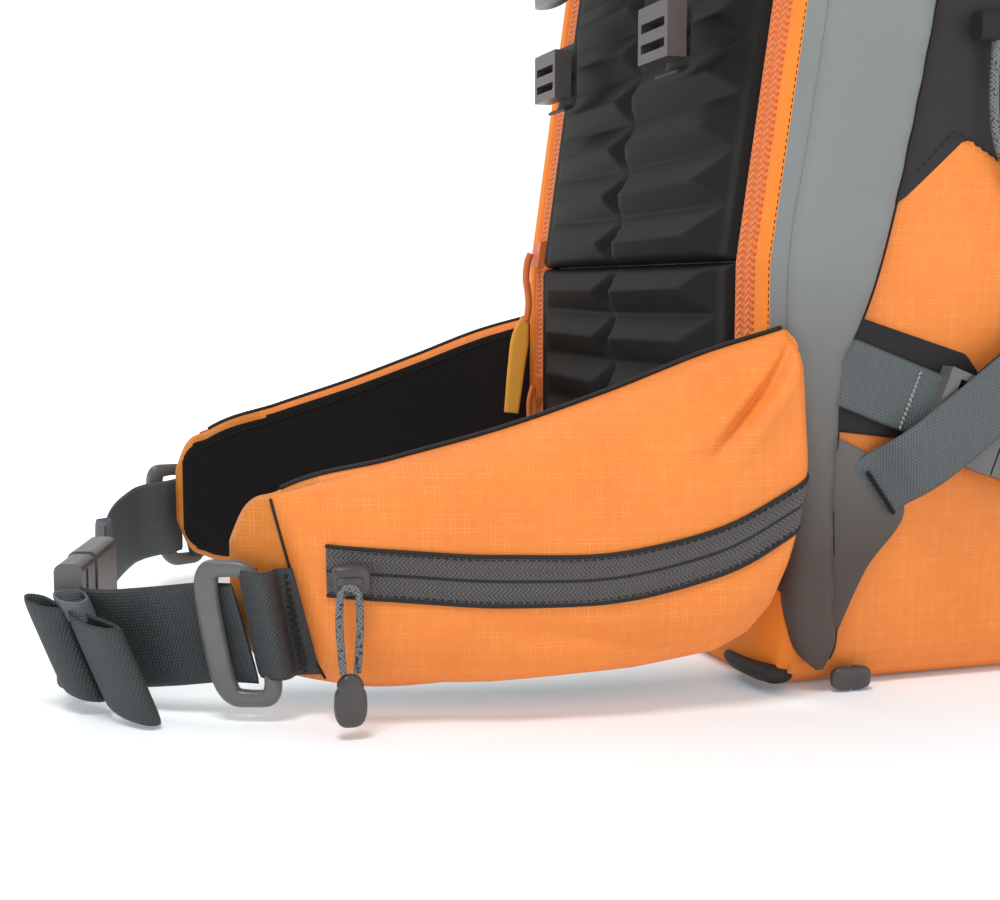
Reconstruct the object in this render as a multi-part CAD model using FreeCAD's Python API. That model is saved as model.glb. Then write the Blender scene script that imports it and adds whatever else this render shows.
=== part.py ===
"""Daypack with a back-access door, zipped hip-belt pockets, side compression straps and a buckled hip belt.

Frame, in millimetres: +Z up, origin under the middle of the pack on the surface it stands on. +Y is the wearer's
side (the back pad and hip belt), -Y the outer front, -X the wearer's left.
"""
import FreeCAD, Part
import math
import os

V = FreeCAD.Vector

# Driving dimensions of the bag body
BODY_WIDTH = 290.0
BODY_HEIGHT = 470.0
BODY_DEPTH = 222.5
FRONT_BEND = 0.55 * BODY_HEIGHT   # the front is upright below this height and leans back above it
TOP_DEPTH = 188.0
WALL = 5.0
BEND_HEIGHT = 157.0        # the back is upright below this height and leans above it
LEAN = 0.14                # lean of the upper back, in mm of -Y per mm of height
FRAME_THICK = 6.0

# Back door and its opening
OPENING_HALF = 119.0
OPENING_LOW, OPENING_HIGH = 34.0, 453.0
DOOR_GAP = 1.0
PAD_HALF = 112.0
PAD_THICK = 14.0
TAPE_THICK = 2.5
TAPE_GAP = 0.4
TAPE_HALF = 126.0
CORNER = 15.0              # the door's rounded bottom corners

# Hip belt: each wing is an upright arc about this centre (left wing; the right one is its mirror image)
WING_CENTRE_X, WING_CENTRE_Y = 225.5, 35.0
FOAM_IN, FOAM_OUT = 364.0, 376.0
POCKET_OUT = 391.0
ZIP_HEIGHT = 52.0
SLIDER_Y = 160.0
WING_ROOT = 128.0          # the wings are sewn on outside the door's zip, from this X outward
RING_RADIUS, RING_Y = FOAM_OUT + 6.6, 190.0
BUCKLE_X, BUCKLE_Y, BUCKLE_Z = -57.0, 240.0, 28.0
BUCKLE_TURN = -14.0        # turn of the belt buckle about the vertical, in degrees

# Webbing widths and thickness
BELT_WEB, SIDE_WEB, WEB_THICK = 38.0, 25.0, 1.6
PULL_CORD_D = 2.6
STERNUM_WEB, STERNUM_Y, STERNUM_Z = 20.0, 29.0, 366.0
HANDLE_SET = 12.0          # the haul handle's distance in from the back

SIDE = BODY_WIDTH / 2.0
nodes = {}


def back_y(z):
    """Y of the outer face of the back at height z."""
    return -max(0.0, z - BEND_HEIGHT) * LEAN


def front_y(z):
    """Y of the outer face of the front at height z."""
    return -BODY_DEPTH + max(0.0, z - FRONT_BEND) * (BODY_DEPTH - TOP_DEPTH) / (BODY_HEIGHT - FRONT_BEND)


def box(x0, x1, y0, y1, z0, z1):
    return Part.makeBox(x1 - x0, y1 - y0, z1 - z0, V(x0, y0, z0))


def prism_x(outline, x0, x1):
    """Solid from a closed (y, z) outline, between two X planes."""
    wire = Part.makePolygon([V(x0, y, z) for y, z in outline + outline[:1]])
    return Part.Face(wire).extrude(V(x1 - x0, 0, 0))


def back_slab(x0, x1, z0, z1, inner, outer):
    """Slab that follows the bent back, between two offsets from its outer face."""
    heights = [z0] + ([BEND_HEIGHT] if z0 < BEND_HEIGHT < z1 else []) + [z1]
    outline = [(back_y(z) + outer, z) for z in heights] + [(back_y(z) + inner, z) for z in reversed(heights)]
    return prism_x(outline, x0, x1)


def rounded(shape, radius, direction):
    """Rounds the straight edges of shape that run along direction."""
    edges = [e for e in shape.Edges if e.Length > radius and isinstance(e.Curve, Part.Line)
             and abs(abs(e.tangentAt(e.FirstParameter).dot(direction)) - 1) < 1e-6]
    return shape.makeFillet(radius, edges)


def ribbon(points, width_dir, width, thickness):
    """Flat strap: a rectangular section carried along points, with its width along width_dir."""
    across = V(*width_dir).normalize()
    rings = []
    for i, point in enumerate(points):
        ahead = V(*points[min(i + 1, len(points) - 1)])
        behind = V(*points[max(i - 1, 0)])
        normal = (ahead - behind).cross(across).normalize()
        half_w, half_t = across * (width / 2), normal * (thickness / 2)
        centre = V(*point)
        rings.append([centre + half_w + half_t, centre - half_w + half_t,
                      centre - half_w - half_t, centre + half_w - half_t])
    triangles = [(rings[0][0], rings[0][1], rings[0][2]), (rings[0][0], rings[0][2], rings[0][3]),
                 (rings[-1][0], rings[-1][2], rings[-1][1]), (rings[-1][0], rings[-1][3], rings[-1][2])]
    for a, b in zip(rings, rings[1:]):
        for k in range(4):
            m = (k + 1) % 4
            triangles += [(a[k], b[k], b[m]), (a[k], b[m], a[m])]
    faces = [Part.Face(Part.makePolygon([p, q, r, p])) for p, q, r in triangles]
    solid = Part.Solid(Part.Shell(faces))
    if solid.Volume < 0:
        solid.reverse()
    return solid


def cord(points, diameter):
    """Round cord: straight runs joined by tangent arcs as large as the runs allow. Prints its smallest radius."""
    path, start, radii = [], V(*points[0]), []
    for before, corner, after in zip(points, points[1:], points[2:]):
        p, c, n = V(*before), V(*corner), V(*after)
        u, w = (p - c), (n - c)
        shorter = min(u.Length, w.Length)
        u.normalize()
        w.normalize()
        turn = math.pi - u.getAngle(w)
        reach = 0.45 * shorter
        radii.append(reach / math.tan(turn / 2))
        first, last = c + u * reach, c + w * reach
        middle = c + (u + w).normalize() * (radii[-1] / math.cos(turn / 2) - radii[-1])
        path += [Part.LineSegment(start, first).toShape(), Part.Arc(first, middle, last).toShape()]
        start = last
    path.append(Part.LineSegment(start, V(*points[-1])).toShape())
    wire = Part.Wire(path)
    along = (V(*points[1]) - V(*points[0]))
    ring = Part.Wire(Part.Circle(V(*points[0]), along, diameter / 2).toShape())
    tube = wire.makePipeShell([ring], True, False)
    whole = math.pi * diameter ** 2 / 4 * wire.Length
    print("cord: smallest radius %.2f, length %.1f, volume share %.4f"
          % (min(radii), wire.Length, tube.Volume / whole))
    return tube


def mirrored(shape):
    return shape.mirror(V(0, 0, 0), V(1, 0, 0))


def both(left_name, shape):
    """Stores a left-hand piece and its mirror image on the right, each in a node of its own."""
    nodes[left_name] = shape
    nodes[left_name.replace("left", "right")] = mirrored(shape)


def pair(name, *shapes):
    """Stores left-hand pieces and their mirror images in one node, as separate solids."""
    solids = [solid for shape in shapes for solid in shape.Solids + mirrored(shape).Solids]
    nodes[name] = Part.makeCompound(solids)


def wing_sector(r0, r1, z0, z1):
    """Part of an upright ring about the left wing's centre, on the wing's side of it."""
    ring = Part.makeCylinder(r1, z1 - z0, V(WING_CENTRE_X, WING_CENTRE_Y, z0))
    ring = ring.cut(Part.makeCylinder(r0, z1 - z0, V(WING_CENTRE_X, WING_CENTRE_Y, z0)))
    return ring.common(box(-400, -60, -60, 260, z0, z1))


def on_wing(radius, y):
    """X on the left wing's arc of this radius, at y."""
    return WING_CENTRE_X - math.sqrt(radius ** 2 - (y - WING_CENTRE_Y) ** 2)


def band_solid():
    """Padded band along the left side's back edge."""
    top = back_y(BODY_HEIGHT)
    outline = [(-1, 8), (-1, BEND_HEIGHT), (top - 2, BODY_HEIGHT - 8), (top - 44, BODY_HEIGHT - 8), (-43, 180),
               (-24, 124), (-19, 60), (-20, 8)]
    return prism_x(outline, -SIDE - 5, -SIDE)


def make_body():
    """Bag walls: five padded panels round an open-backed hollow, and the ring that the door closes on."""
    bend = FRONT_BEND
    split = 190.0
    lower = [(-FRAME_THICK, 0), (back_y(BEND_HEIGHT) - FRAME_THICK, BEND_HEIGHT),
             (back_y(split) - FRAME_THICK, split), (front_y(split), split), (-BODY_DEPTH, 0)]
    upper = [(back_y(split) - FRAME_THICK, split), (back_y(BODY_HEIGHT) - FRAME_THICK, BODY_HEIGHT),
             (front_y(BODY_HEIGHT), BODY_HEIGHT), (-BODY_DEPTH, bend), (front_y(split), split)]
    pair("side_panels", prism_x(lower, -SIDE, -SIDE + WALL))
    pair("upper_side_panels", prism_x(upper, -SIDE, -SIDE + WALL))
    inside = SIDE - WALL
    front = [(-BODY_DEPTH, 0), (-BODY_DEPTH, bend), (front_y(BODY_HEIGHT), BODY_HEIGHT),
             (front_y(BODY_HEIGHT) + WALL, BODY_HEIGHT), (-BODY_DEPTH + WALL, bend), (-BODY_DEPTH + WALL, 0)]
    nodes["front_panel"] = prism_x(front, -inside, inside)
    nodes["base_panel"] = box(-inside, inside, -BODY_DEPTH + WALL, -FRAME_THICK, 0, 8)
    top = prism_x([(back_y(BODY_HEIGHT) - FRAME_THICK, BODY_HEIGHT),
                   (front_y(BODY_HEIGHT) + WALL, BODY_HEIGHT),
                   (front_y(BODY_HEIGHT - WALL) + WALL, BODY_HEIGHT - WALL),
                   (back_y(BODY_HEIGHT - WALL) - FRAME_THICK, BODY_HEIGHT - WALL)], -inside, inside)
    hand = back_y(BODY_HEIGHT) - HANDLE_SET
    ears = [box(x - 1.5, x + 1.5, hand - 6, hand + 5.5, BODY_HEIGHT - 1, BODY_HEIGHT + 11)
            for x in (-39.2, 39.2)]
    nodes["top_panel"] = top.fuse(ears)
    ring = back_slab(-SIDE, SIDE, 0, BODY_HEIGHT, -FRAME_THICK, 0)
    hole = back_slab(-OPENING_HALF, OPENING_HALF, OPENING_LOW, OPENING_HIGH, -FRAME_THICK - 5, 5)
    nodes["rear_zip_frame"] = ring.cut(hole)
    pair("frame_bands", band_solid())


def make_front():
    """Front pocket with its zip, and the bag's haul handle."""
    y = -BODY_DEPTH
    pocket_outline = [(y, 26), (y - 26, 34), (y - 30, 150), (y - 14, 262), (front_y(288), 288), (y, FRONT_BEND)]
    pocket = prism_x(pocket_outline, -112, 112)
    nodes["front_pocket"] = pocket
    zip_outline = [(y - 30.1, 154), (y - 32.4, 154), (y - 24.6, 209), (y - 22.3, 209)]
    nodes["front_zip"] = prism_x(zip_outline, -96, 96)
    hand = back_y(BODY_HEIGHT) - HANDLE_SET
    arch = [(-35, 8), (-34, 18), (-25, 27), (-9, 32), (9, 32), (25, 27), (34, 18), (35, 8)]
    nodes["haul_handle"] = ribbon([(x, hand, BODY_HEIGHT + z) for x, z in arch], (0, 1, 0), 14, 4)
    slider_outline = [(y - 29.5, 178), (y - 34.4, 178), (y - 33.2, 187), (y - 28.2, 187)]
    nodes["front_slider"] = prism_x(slider_outline, -90, -78)
    pull_y = y - 36.5
    nodes["front_pull"] = box(-86, -82, pull_y - 1.5, pull_y + 1.5, 150, 184).fuse(
        rounded(box(-89.5, -78.5, pull_y - 3.2, pull_y + 3.2, 126, 150), 2.0, V(0, 0, 1)))


def strap_frame(start, slope_deg):
    """(origin, unit vector along, unit vector across) of a strap on the left side, running forward."""
    a = math.radians(slope_deg)
    return start, (-math.cos(a), math.sin(a)), (math.sin(a), math.cos(a))


def side_block(frame, s0, s1, half, x0, x1):
    """Block on the left side: from s0 to s1 along a strap, half its width each way across."""
    (y, z), (ay, az), (cy, cz) = frame
    corners = [(s0, -half), (s1, -half), (s1, half), (s0, half)]
    return prism_x([(y + s * ay + w * cy, z + s * az + w * cz) for s, w in corners], x0, x1)


def make_side_straps():
    """Compression strap with its side-release buckle, and the gusset strap that crosses over it."""
    band = band_solid()
    patch = [(-20, 140), (-29, 137), (-74, 123), (-81, 114), (-84, 86), (-50, 92), (-20, 96)]
    pair("strap_patches", prism_x(patch, -SIDE - 1.2, -SIDE).cut(band))
    upper = strap_frame((-24.0, 117.0), -21.0)
    face = -SIDE - 1.2
    pair("side_webbing", side_block(upper, 0, 36, SIDE_WEB / 2, face - 1.6, face).cut(band))
    shell = side_block(upper, 36, 66, 16, face - 7.4, face - 0.4)
    hollow = side_block(upper, 50, 67, 12.4, face - 6.2, face - 1.6)
    slot = side_block(upper, 41, 44.6, 13, face - 9, face + 1)
    pair("side_buckles", shell.cut(hollow).cut(slot))
    prongs = side_block(upper, 52, 67, 12, face - 5.4, face - 2.4).cut(
        side_block(upper, 51, 67, 7.6, face - 9, face + 1))
    tongue = side_block(upper, 54, 67, 2.4, face - 5.4, face - 2.4)
    bar = side_block(upper, 67, 86, 15.5, face - 7.0, face - 0.8).cut(
        side_block(upper, 74, 77.6, 13, face - 9, face + 1))
    both("left_side_clip", bar.fuse([prongs, tongue]))
    both("left_clip_webbing", side_block(upper, 86.2, 186, SIDE_WEB / 2, face - 1.9, face - 0.3))
    gusset = [(-20, 94), (-34.4, 87.5), (-50, 66), (-23, 20), (-19.5, 20)]
    pair("gussets", prism_x(gusset, -SIDE - 1.9, -SIDE).cut(band))
    lower = strap_frame((-40.5, 77.5), 36.0)
    (y, z), (ay, az), across = lower
    route = [(0, 3.0), (5, 6.0), (14, 10.6), (30, 11.4), (96, 11.4), (120, 9.4)]
    points = [(-SIDE - out, y + s * ay, z + s * az) for s, out in route]
    ladder = side_block(lower, 121, 149, 15.5, -SIDE - 7.5, -SIDE - 1.5)
    for s in (127, 137):
        ladder = ladder.cut(side_block(lower, s, s + 3.6, 13, -SIDE - 12, -SIDE + 1))
    pair("gusset_adjusters", ladder)
    tail = [(-SIDE - out, y + s * ay, z + s * az) for s, out in [(120, 4.2), (96, 3.4), (66, 3.2)]]
    pair("gusset_webbing", ribbon(points, (0,) + across, SIDE_WEB, WEB_THICK),
         ribbon(tail, (0,) + across, SIDE_WEB - 1, WEB_THICK))
    tab = box(-SIDE + 4, -SIDE + 34, 0.2, 4.0, 5, 17).fuse(box(-SIDE + 4, -SIDE + 34, 4.0, 20.0, 6, 8.4))
    pair("anchor_tabs", tab)
    toggle = rounded(box(-SIDE - 5, -SIDE + 12, -40, -29, 0.4, 9.4), 3.5, V(1, 0, 0))
    nodes["rain_cover_toggle"] = toggle.cut(box(-SIDE, -SIDE + 13, -41, -28, -1, 10))
    lacing = [(-SIDE - 4, -80, 236), (-SIDE - 4, -79, 214), (-SIDE - 4, -83, 194), (-SIDE - 4, -96, 180),
              (-SIDE - 4, -115, 178), (-SIDE - 4, -131, 189), (-SIDE - 4, -140, 208), (-SIDE - 4, -142, 236)]
    both("left_bungee", cord(lacing, 3.4))
    keeper = box(-SIDE - 7, -SIDE, -150, -72, 236, 246)
    pair("bungee_guides", rounded(keeper, 2.0, V(0, 1, 0)))


def make_door():
    """Back door: lining, frame sheet, zip tape and the two moulded back pads."""
    half = OPENING_HALF - DOOR_GAP
    low, high = OPENING_LOW + DOOR_GAP, OPENING_HIGH - DOOR_GAP
    panel = back_slab(-half, half, low, high, -9, 0)
    panel = panel.cut(back_slab(-half + 8, half - 8, low + 10, high - 10, -3.5, 1))
    corners = [box(x - CORNER, x + CORNER, -30, 30, low - CORNER, low + CORNER) for x in (-half, half)]
    keep = [Part.makeCylinder(CORNER, 60, V(x, -30, low + CORNER), V(0, 1, 0))
            for x in (CORNER - half, half - CORNER)]
    nodes["door_panel"] = panel.cut([c.cut(k) for c, k in zip(corners, keep)])
    nodes["frame_sheet"] = back_slab(-half + 10, half - 10, low + 12, high - 12, -3.5, -2)
    nodes["lumbar_pad"] = back_slab(-PAD_HALF, PAD_HALF, 36, 156.5, 0, PAD_THICK)
    nodes["upper_back_pad"] = back_slab(-PAD_HALF, PAD_HALF, 158, 440, 0, PAD_THICK)
    tape = back_slab(-TAPE_HALF, TAPE_HALF, 22, 441, TAPE_GAP, TAPE_GAP + TAPE_THICK)
    nodes["back_zip"] = tape.cut(back_slab(-PAD_HALF - 0.5, PAD_HALF + 0.5, 36, 442, -1, 9))


def make_wings():
    """Hip-belt wings with their pockets, zips and webbing."""
    outline = [(0, 26), (0, 133), (30, 125), (66, 112), (103, 99.5), (140, 89), (177, 78), (189, 70),
               (193, 60), (193, 36), (188, 24), (178, 16), (160, 11), (110, 12), (60, 15), (30, 19)]
    foam = wing_sector(FOAM_IN, FOAM_OUT, 0, 140).common(prism_x(outline, -400, 0))
    root = prism_x([(0, 26), (0, 133), (9, 130), (9, 26)], -SIDE - 1, -WING_ROOT)
    both("left_wing", foam.fuse(root).removeSplitter())
    pocket_outline = [(-5, 28), (-5, 134), (30, 124.5), (66, 111.5), (103, 99), (140, 88.5), (172, 79.5), (168, 40),
                      (163, 13.5), (110, 13), (60, 16), (10, 20)]
    pocket = wing_sector(FOAM_OUT + 0.3, POCKET_OUT, 0, 140).common(prism_x(pocket_outline, -400, 0))
    pair("hip_pockets", pocket.cut(box(-SIDE - 6, 0, -60, 3.0, 0, 160)))
    zip_band = wing_sector(POCKET_OUT + 0.3, POCKET_OUT + 2.3, ZIP_HEIGHT - 9, ZIP_HEIGHT + 9)
    pair("hip_zips", zip_band.common(box(-400, 0, 8, 168, 0, 160)))
    slider = wing_sector(POCKET_OUT + 2.6, POCKET_OUT + 7.6, ZIP_HEIGHT - 5, ZIP_HEIGHT + 5)
    slider = slider.common(box(-400, 0, SLIDER_Y - 8, SLIDER_Y + 5, 0, 160))
    both("left_hip_slider", slider)
    pull_x = on_wing(POCKET_OUT + 10.2, SLIDER_Y)
    rows = [(2.4, 22.2), (3.1, 31.0), (3.6, 40.5), (2.9, 50.5)]
    route = [(pull_x, SLIDER_Y + s, z) for s, z in rows]
    route += [(pull_x, SLIDER_Y - s, z) for s, z in reversed(rows)]
    both("left_hip_pull_cord", cord(route, PULL_CORD_D))
    end = rounded(box(pull_x - 3, pull_x + 3, SLIDER_Y - 5.4, SLIDER_Y + 5.4, 4.2, 22), 2.4, V(0, 0, 1))
    both("left_hip_pull_end", end)
    patch_y = [174, 180, 186, 190]
    anchor = [(on_wing(FOAM_OUT + 1.4, y), y, 34) for y in patch_y]
    pair("wing_webbing", ribbon(anchor, (0, 0, 1), BELT_WEB, WEB_THICK))


def tri_glide(z):
    """Left-hand webbing ring, upright along the wing's tip at height z, with its slot."""
    high, deep = (BELT_WEB + 13) / 2, 14.0
    outer = rounded(box(-2.6, 2.6, -deep, deep, -high, high), 5.0, V(1, 0, 0))
    ring = outer.cut(box(-5, 5, 8.0 - deep, deep - 8.0, -BELT_WEB / 2 - 0.8, BELT_WEB / 2 + 0.8))
    turn = -math.degrees(math.asin((RING_Y - WING_CENTRE_Y) / RING_RADIUS))
    return ring.rotated(V(0, 0, 0), V(0, 0, 1), turn).translated(V(on_wing(RING_RADIUS, RING_Y), RING_Y, z))


def at_buckle(shape):
    """Puts a shape made about the buckle's centre in its place on the belt."""
    turned = shape.rotated(V(0, 0, 0), V(0, 0, 1), BUCKLE_TURN)
    return turned.translated(V(BUCKLE_X, BUCKLE_Y, BUCKLE_Z))


def make_belt():
    """Webbing rings, belt webbing, folded tail and the centre side-release buckle."""
    nodes["tri_glides"] = Part.makeCompound([tri_glide(30.5), mirrored(tri_glide(36.5))])
    left = [(-117.6, 205, 29.5), (-111, 216.5, 28), (-101, 227.5, 26), (-92, 235, 25), (-86.6, 238.4, 25)]
    nodes["left_belt_webbing"] = ribbon(left, (0, 0, 1), BELT_WEB - 2, WEB_THICK)
    right = [(117.6, 205, 36), (98, 215, 34.5), (66, 224, 32.5), (28, 229.5, 30), (-27, 232.6, 28)]
    nodes["right_belt_webbing"] = ribbon(right, (0, 0, 1), BELT_WEB - 2, WEB_THICK)
    socket = rounded(box(-5, 29, -5.5, 5.5, -23, 23), 3.0, V(1, 0, 0))
    nodes["hip_buckle_socket"] = at_buckle(socket.cut(box(-6, 16, -3.9, 3.9, -19, 19)))
    prongs = box(-9, 14, -2.6, 2.6, -18, 18).cut(box(-8, 15, -6, 6, -12, 12))
    guide = box(-9, 11, -2.6, 2.6, -3.5, 3.5)
    bar = rounded(box(-28, -7, -5, 5, -22.5, 22.5), 3.0, V(1, 0, 0))
    bar = bar.cut(box(-22, -18.4, -8, 8, -19.5, 19.5))
    nodes["hip_buckle_plug"] = at_buckle(bar.fuse([prongs, guide]))
    lean = (0.1, 0.36, 0.93)
    loops = [(-92, 245, 22), (-88, 249, 23.5), (-88.5, 254, 24.5), (-94, 255, 24), (-100, 250, 22.5),
             (-101, 244.5, 21.5), (-99, 241, 21), (-107, 240.5, 20), (-117, 236, 19), (-124.5, 229.5, 18.4),
             (-122.5, 225, 18.2), (-113.5, 228.5, 18.6), (-104, 234, 19.2), (-98.5, 237.5, 19.8)]
    nodes["left_belt_tail"] = ribbon(loops, lean, BELT_WEB - 2, WEB_THICK)


def strap_side(points, thickness):
    """(y, z) outline of a pad of even thickness whose outer face follows points."""
    inner = []
    for i, (y, z) in enumerate(points):
        y1, z1 = points[min(i + 1, len(points) - 1)]
        y0, z0 = points[max(i - 1, 0)]
        length = math.hypot(y1 - y0, z1 - z0)
        inner.append((y + (z1 - z0) / length * thickness, z - (y1 - y0) / length * thickness))
    return points + inner[::-1]


def make_harness():
    """Shoulder straps, their lower webbing, and the sternum strap."""
    arch = [(-20.5, 408), (-18, 440), (-10, 462), (4, 472), (20, 470), (31, 456), (33, 430), (28, 380), (24, 320),
            (22, 262)]
    pair("shoulder_straps", prism_x(strap_side(arch, 12.0), -94, -42))
    lock = box(-82, -52, 12, 20, 236, 258)
    for z in (240, 248):
        lock = lock.cut(box(-79, -55, 5, 25, z, z + 3.6))
    pair("ladder_locks", lock)
    pair("strap_webbing", box(-79.5, -54.5, 7.4, 9.6, 232, 262).fuse(box(-79.5, -54.5, 7.4, 15, 230, 232)))
    y, z = STERNUM_Y, STERNUM_Z
    half = STERNUM_WEB / 2
    nodes["left_sternum_webbing"] = box(-66, -20.4, y - 0.8, y + 0.8, z - half, z + half)
    nodes["right_sternum_webbing"] = box(18.4, 66, y - 0.8, y + 0.8, z - half, z + half)
    socket = rounded(box(-20, 3, y - 4.4, y + 4.4, z - 13, z + 13), 2.5, V(1, 0, 0))
    nodes["sternum_socket"] = socket.cut(box(-12, 4, y - 2.9, y + 2.9, z - 10.4, z + 10.4))
    prongs = box(-10, 5, y - 1.9, y + 1.9, z - 9.8, z + 9.8).cut(box(-11, 4, y - 5, y + 5, z - 6.2, z + 6.2))
    bar = rounded(box(4, 18, y - 4.2, y + 4.2, z - 12.5, z + 12.5), 2.5, V(1, 0, 0))
    nodes["sternum_plug"] = bar.fuse(prongs)


def make_back_sliders():
    """Two sliders on the right-hand side of the back zip, each with its hanging pull."""
    x0, x1, near, far = 113.5, 125.5, TAPE_GAP + TAPE_THICK + 0.4, TAPE_GAP + TAPE_THICK + 5.4
    nodes["upper_back_slider"] = back_slab(x0, x1, 158, 171, near, far)
    nodes["lower_back_slider"] = rounded(box(x0, x1, near, far, 90, 103), 2.0, V(0, 1, 0))
    hook = box(118.6, 121.4, far + 0.5, far + 3.3, 128, 166)
    # the tab's inner edge is cut back so that it clears the zip where the back starts to lean
    tab_outline = [(far + 0.7, 130), (far + 11.0, 130), (far + 11.0, 82), (far + 5.6, 82), (far + 0.7, 117)]
    tab = prism_x(tab_outline, 118.6, 121.4)
    nodes["upper_back_pull"] = hook.fuse(tab)
    link = box(114.6, 117.2, far + 0.5, far + 3.1, 66, 98)
    lower_tab = rounded(box(114.0, 117.4, far + 0.5, far + 9.0, 38, 68), 1.2, V(0, 0, 1))
    nodes["lower_back_pull"] = link.fuse(lower_tab)


make_body()
make_front()
make_side_straps()
make_door()
make_wings()
make_belt()
make_harness()
make_back_sliders()

os.makedirs("parts", exist_ok=True)
for name, shape in nodes.items():
    solids = shape.Solids
    if not solids or not all(s.isValid() and s.Volume > 0 for s in solids):
        raise ValueError("bad solid in " + name)
    whole = solids[0] if len(solids) == 1 else Part.makeCompound(solids)
    whole.exportStep(os.path.join("parts", name + ".step"))
print(len(nodes), "nodes")
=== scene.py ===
import math
import bmesh
import bpy
import numpy as np
from mathutils import Matrix, Vector


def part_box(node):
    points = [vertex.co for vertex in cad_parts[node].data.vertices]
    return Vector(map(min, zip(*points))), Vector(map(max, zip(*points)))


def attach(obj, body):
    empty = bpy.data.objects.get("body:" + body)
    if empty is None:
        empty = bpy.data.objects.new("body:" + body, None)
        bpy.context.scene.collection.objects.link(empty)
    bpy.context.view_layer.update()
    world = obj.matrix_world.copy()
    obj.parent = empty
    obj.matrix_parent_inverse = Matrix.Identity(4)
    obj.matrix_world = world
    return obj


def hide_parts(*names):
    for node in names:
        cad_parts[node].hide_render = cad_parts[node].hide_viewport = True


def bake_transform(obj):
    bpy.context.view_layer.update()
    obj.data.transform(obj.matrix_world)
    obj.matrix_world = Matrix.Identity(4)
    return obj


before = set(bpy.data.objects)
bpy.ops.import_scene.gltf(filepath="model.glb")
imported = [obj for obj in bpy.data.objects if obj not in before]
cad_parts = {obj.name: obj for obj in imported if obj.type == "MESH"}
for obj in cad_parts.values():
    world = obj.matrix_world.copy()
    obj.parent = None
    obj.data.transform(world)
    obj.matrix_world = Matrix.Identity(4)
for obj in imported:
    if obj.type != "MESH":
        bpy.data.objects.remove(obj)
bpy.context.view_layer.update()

# Lengths below are in millimetres until a mesh is made; the frame is in metres.
MM = 0.001
LEFT, RIGHT = -1, 1
SIDES = ((LEFT, "left"), (RIGHT, "right"))

SIDE = 145.0            # half the width of the bag
BODY_HEIGHT = 470.0
BODY_DEPTH = 222.5
TOP_DEPTH = 188.0
BEND_HEIGHT = 157.0     # the back is upright below this and leans above it
BACK_LEAN = 0.14
FRONT_BEND = 258.5
SEAT = 6.0              # the shell's rear edge sits this far inside the back

WING_CENTRE_X = 225.5
WING_CENTRE_Y = 35.0
FOAM_IN, FOAM_OUT = 364.0, 376.0
POCKET_IN, POCKET_OUT = 376.3, 391.0
PAD_HALF = 112.0
PAD_BASE, PAD_RIDGE = 5.0, 7.5
RIB_PITCH = 21.0
GROOVE_X = 6.0
STRAP_FACE = 146.2      # distance of the side strap's face from the middle
BACKDROP, WALL = 9000.0, 2600.0     # the paper ring's radius and height
PAD_FOOT, PAD_SEAM, PAD_TOP = 36, 157.1, 446.5
DOOR_ZIP_X, DOOR_ZIP_LOW, DOOR_ZIP_TOP = 119.6, 29.0, 441
SHELL_COLUMNS = 180


# ---- shapes

def back_y(z):
    return -np.maximum(0.0, np.asarray(z, float) - BEND_HEIGHT) * BACK_LEAN


def front_y(z):
    rise = np.maximum(0.0, np.asarray(z, float) - FRONT_BEND) / (BODY_HEIGHT - FRONT_BEND)
    return -BODY_DEPTH + rise * (BODY_DEPTH - TOP_DEPTH)


def spline(points):
    """Smooth curve through points with rising first numbers, as a function."""
    xs, ys = (np.array(c, float) for c in zip(*points))
    slopes = np.gradient(ys, xs) if len(xs) > 2 else np.full(2, (ys[1] - ys[0]) / (xs[1] - xs[0]))

    def at(x):
        x = np.clip(np.asarray(x, float), xs[0], xs[-1])
        i = np.clip(np.searchsorted(xs, x) - 1, 0, len(xs) - 2)
        h = xs[i + 1] - xs[i]
        t = (x - xs[i]) / h
        return (ys[i] * (1 + 2 * t) * (1 - t) ** 2 + slopes[i] * h * t * (1 - t) ** 2
                + ys[i + 1] * t * t * (3 - 2 * t) + slopes[i + 1] * h * t * t * (t - 1))
    return at


def straight(points):
    xs, ys = zip(*points)
    return lambda x: np.interp(x, xs, ys)


def steps(n, crowd=0.6):
    """n + 1 numbers from 0 to 1, closer together near both ends."""
    t = np.linspace(0, 1, n + 1)
    return (1 - crowd) * t + crowd * (0.5 - 0.5 * np.cos(math.pi * t))


def rim(distance, radius):
    """Quarter-round edge: 0 at the edge and 1 from radius inwards."""
    return np.sqrt(np.maximum(0.0, 1 - (1 - np.clip(distance / radius, 0, 1)) ** 2))


def bump(value, centre, width):
    return np.exp(-((value - centre) / width) ** 2)


def mesh_object(name, points, faces, uvs, mats, face_mats=None):
    """Mesh from millimetre points, with UVs in metres and doubled points joined."""
    mesh = bpy.data.meshes.new(name)
    mesh.from_pydata((np.asarray(points, float) * MM).tolist(), [], faces)
    layer = mesh.uv_layers.new(name="UVMap")
    corner = np.zeros(len(mesh.loops), np.int32)
    mesh.loops.foreach_get("vertex_index", corner)
    layer.data.foreach_set("uv", (np.asarray(uvs, float)[corner] * MM).astype(np.float32).ravel())
    for m in mats:
        mesh.materials.append(m)
    if face_mats is not None:
        mesh.polygons.foreach_set("material_index", np.asarray(face_mats, np.int32))
    work = bmesh.new()
    work.from_mesh(mesh)
    bmesh.ops.remove_doubles(work, verts=work.verts, dist=2e-6)
    bmesh.ops.dissolve_degenerate(work, edges=work.edges, dist=1e-6)
    bmesh.ops.recalc_face_normals(work, faces=work.faces)
    work.to_mesh(mesh)
    work.free()
    mesh.polygons.foreach_set("use_smooth", [True] * len(mesh.polygons))
    obj = bpy.data.objects.new(name, mesh)
    bpy.context.scene.collection.objects.link(obj)
    return obj


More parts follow.
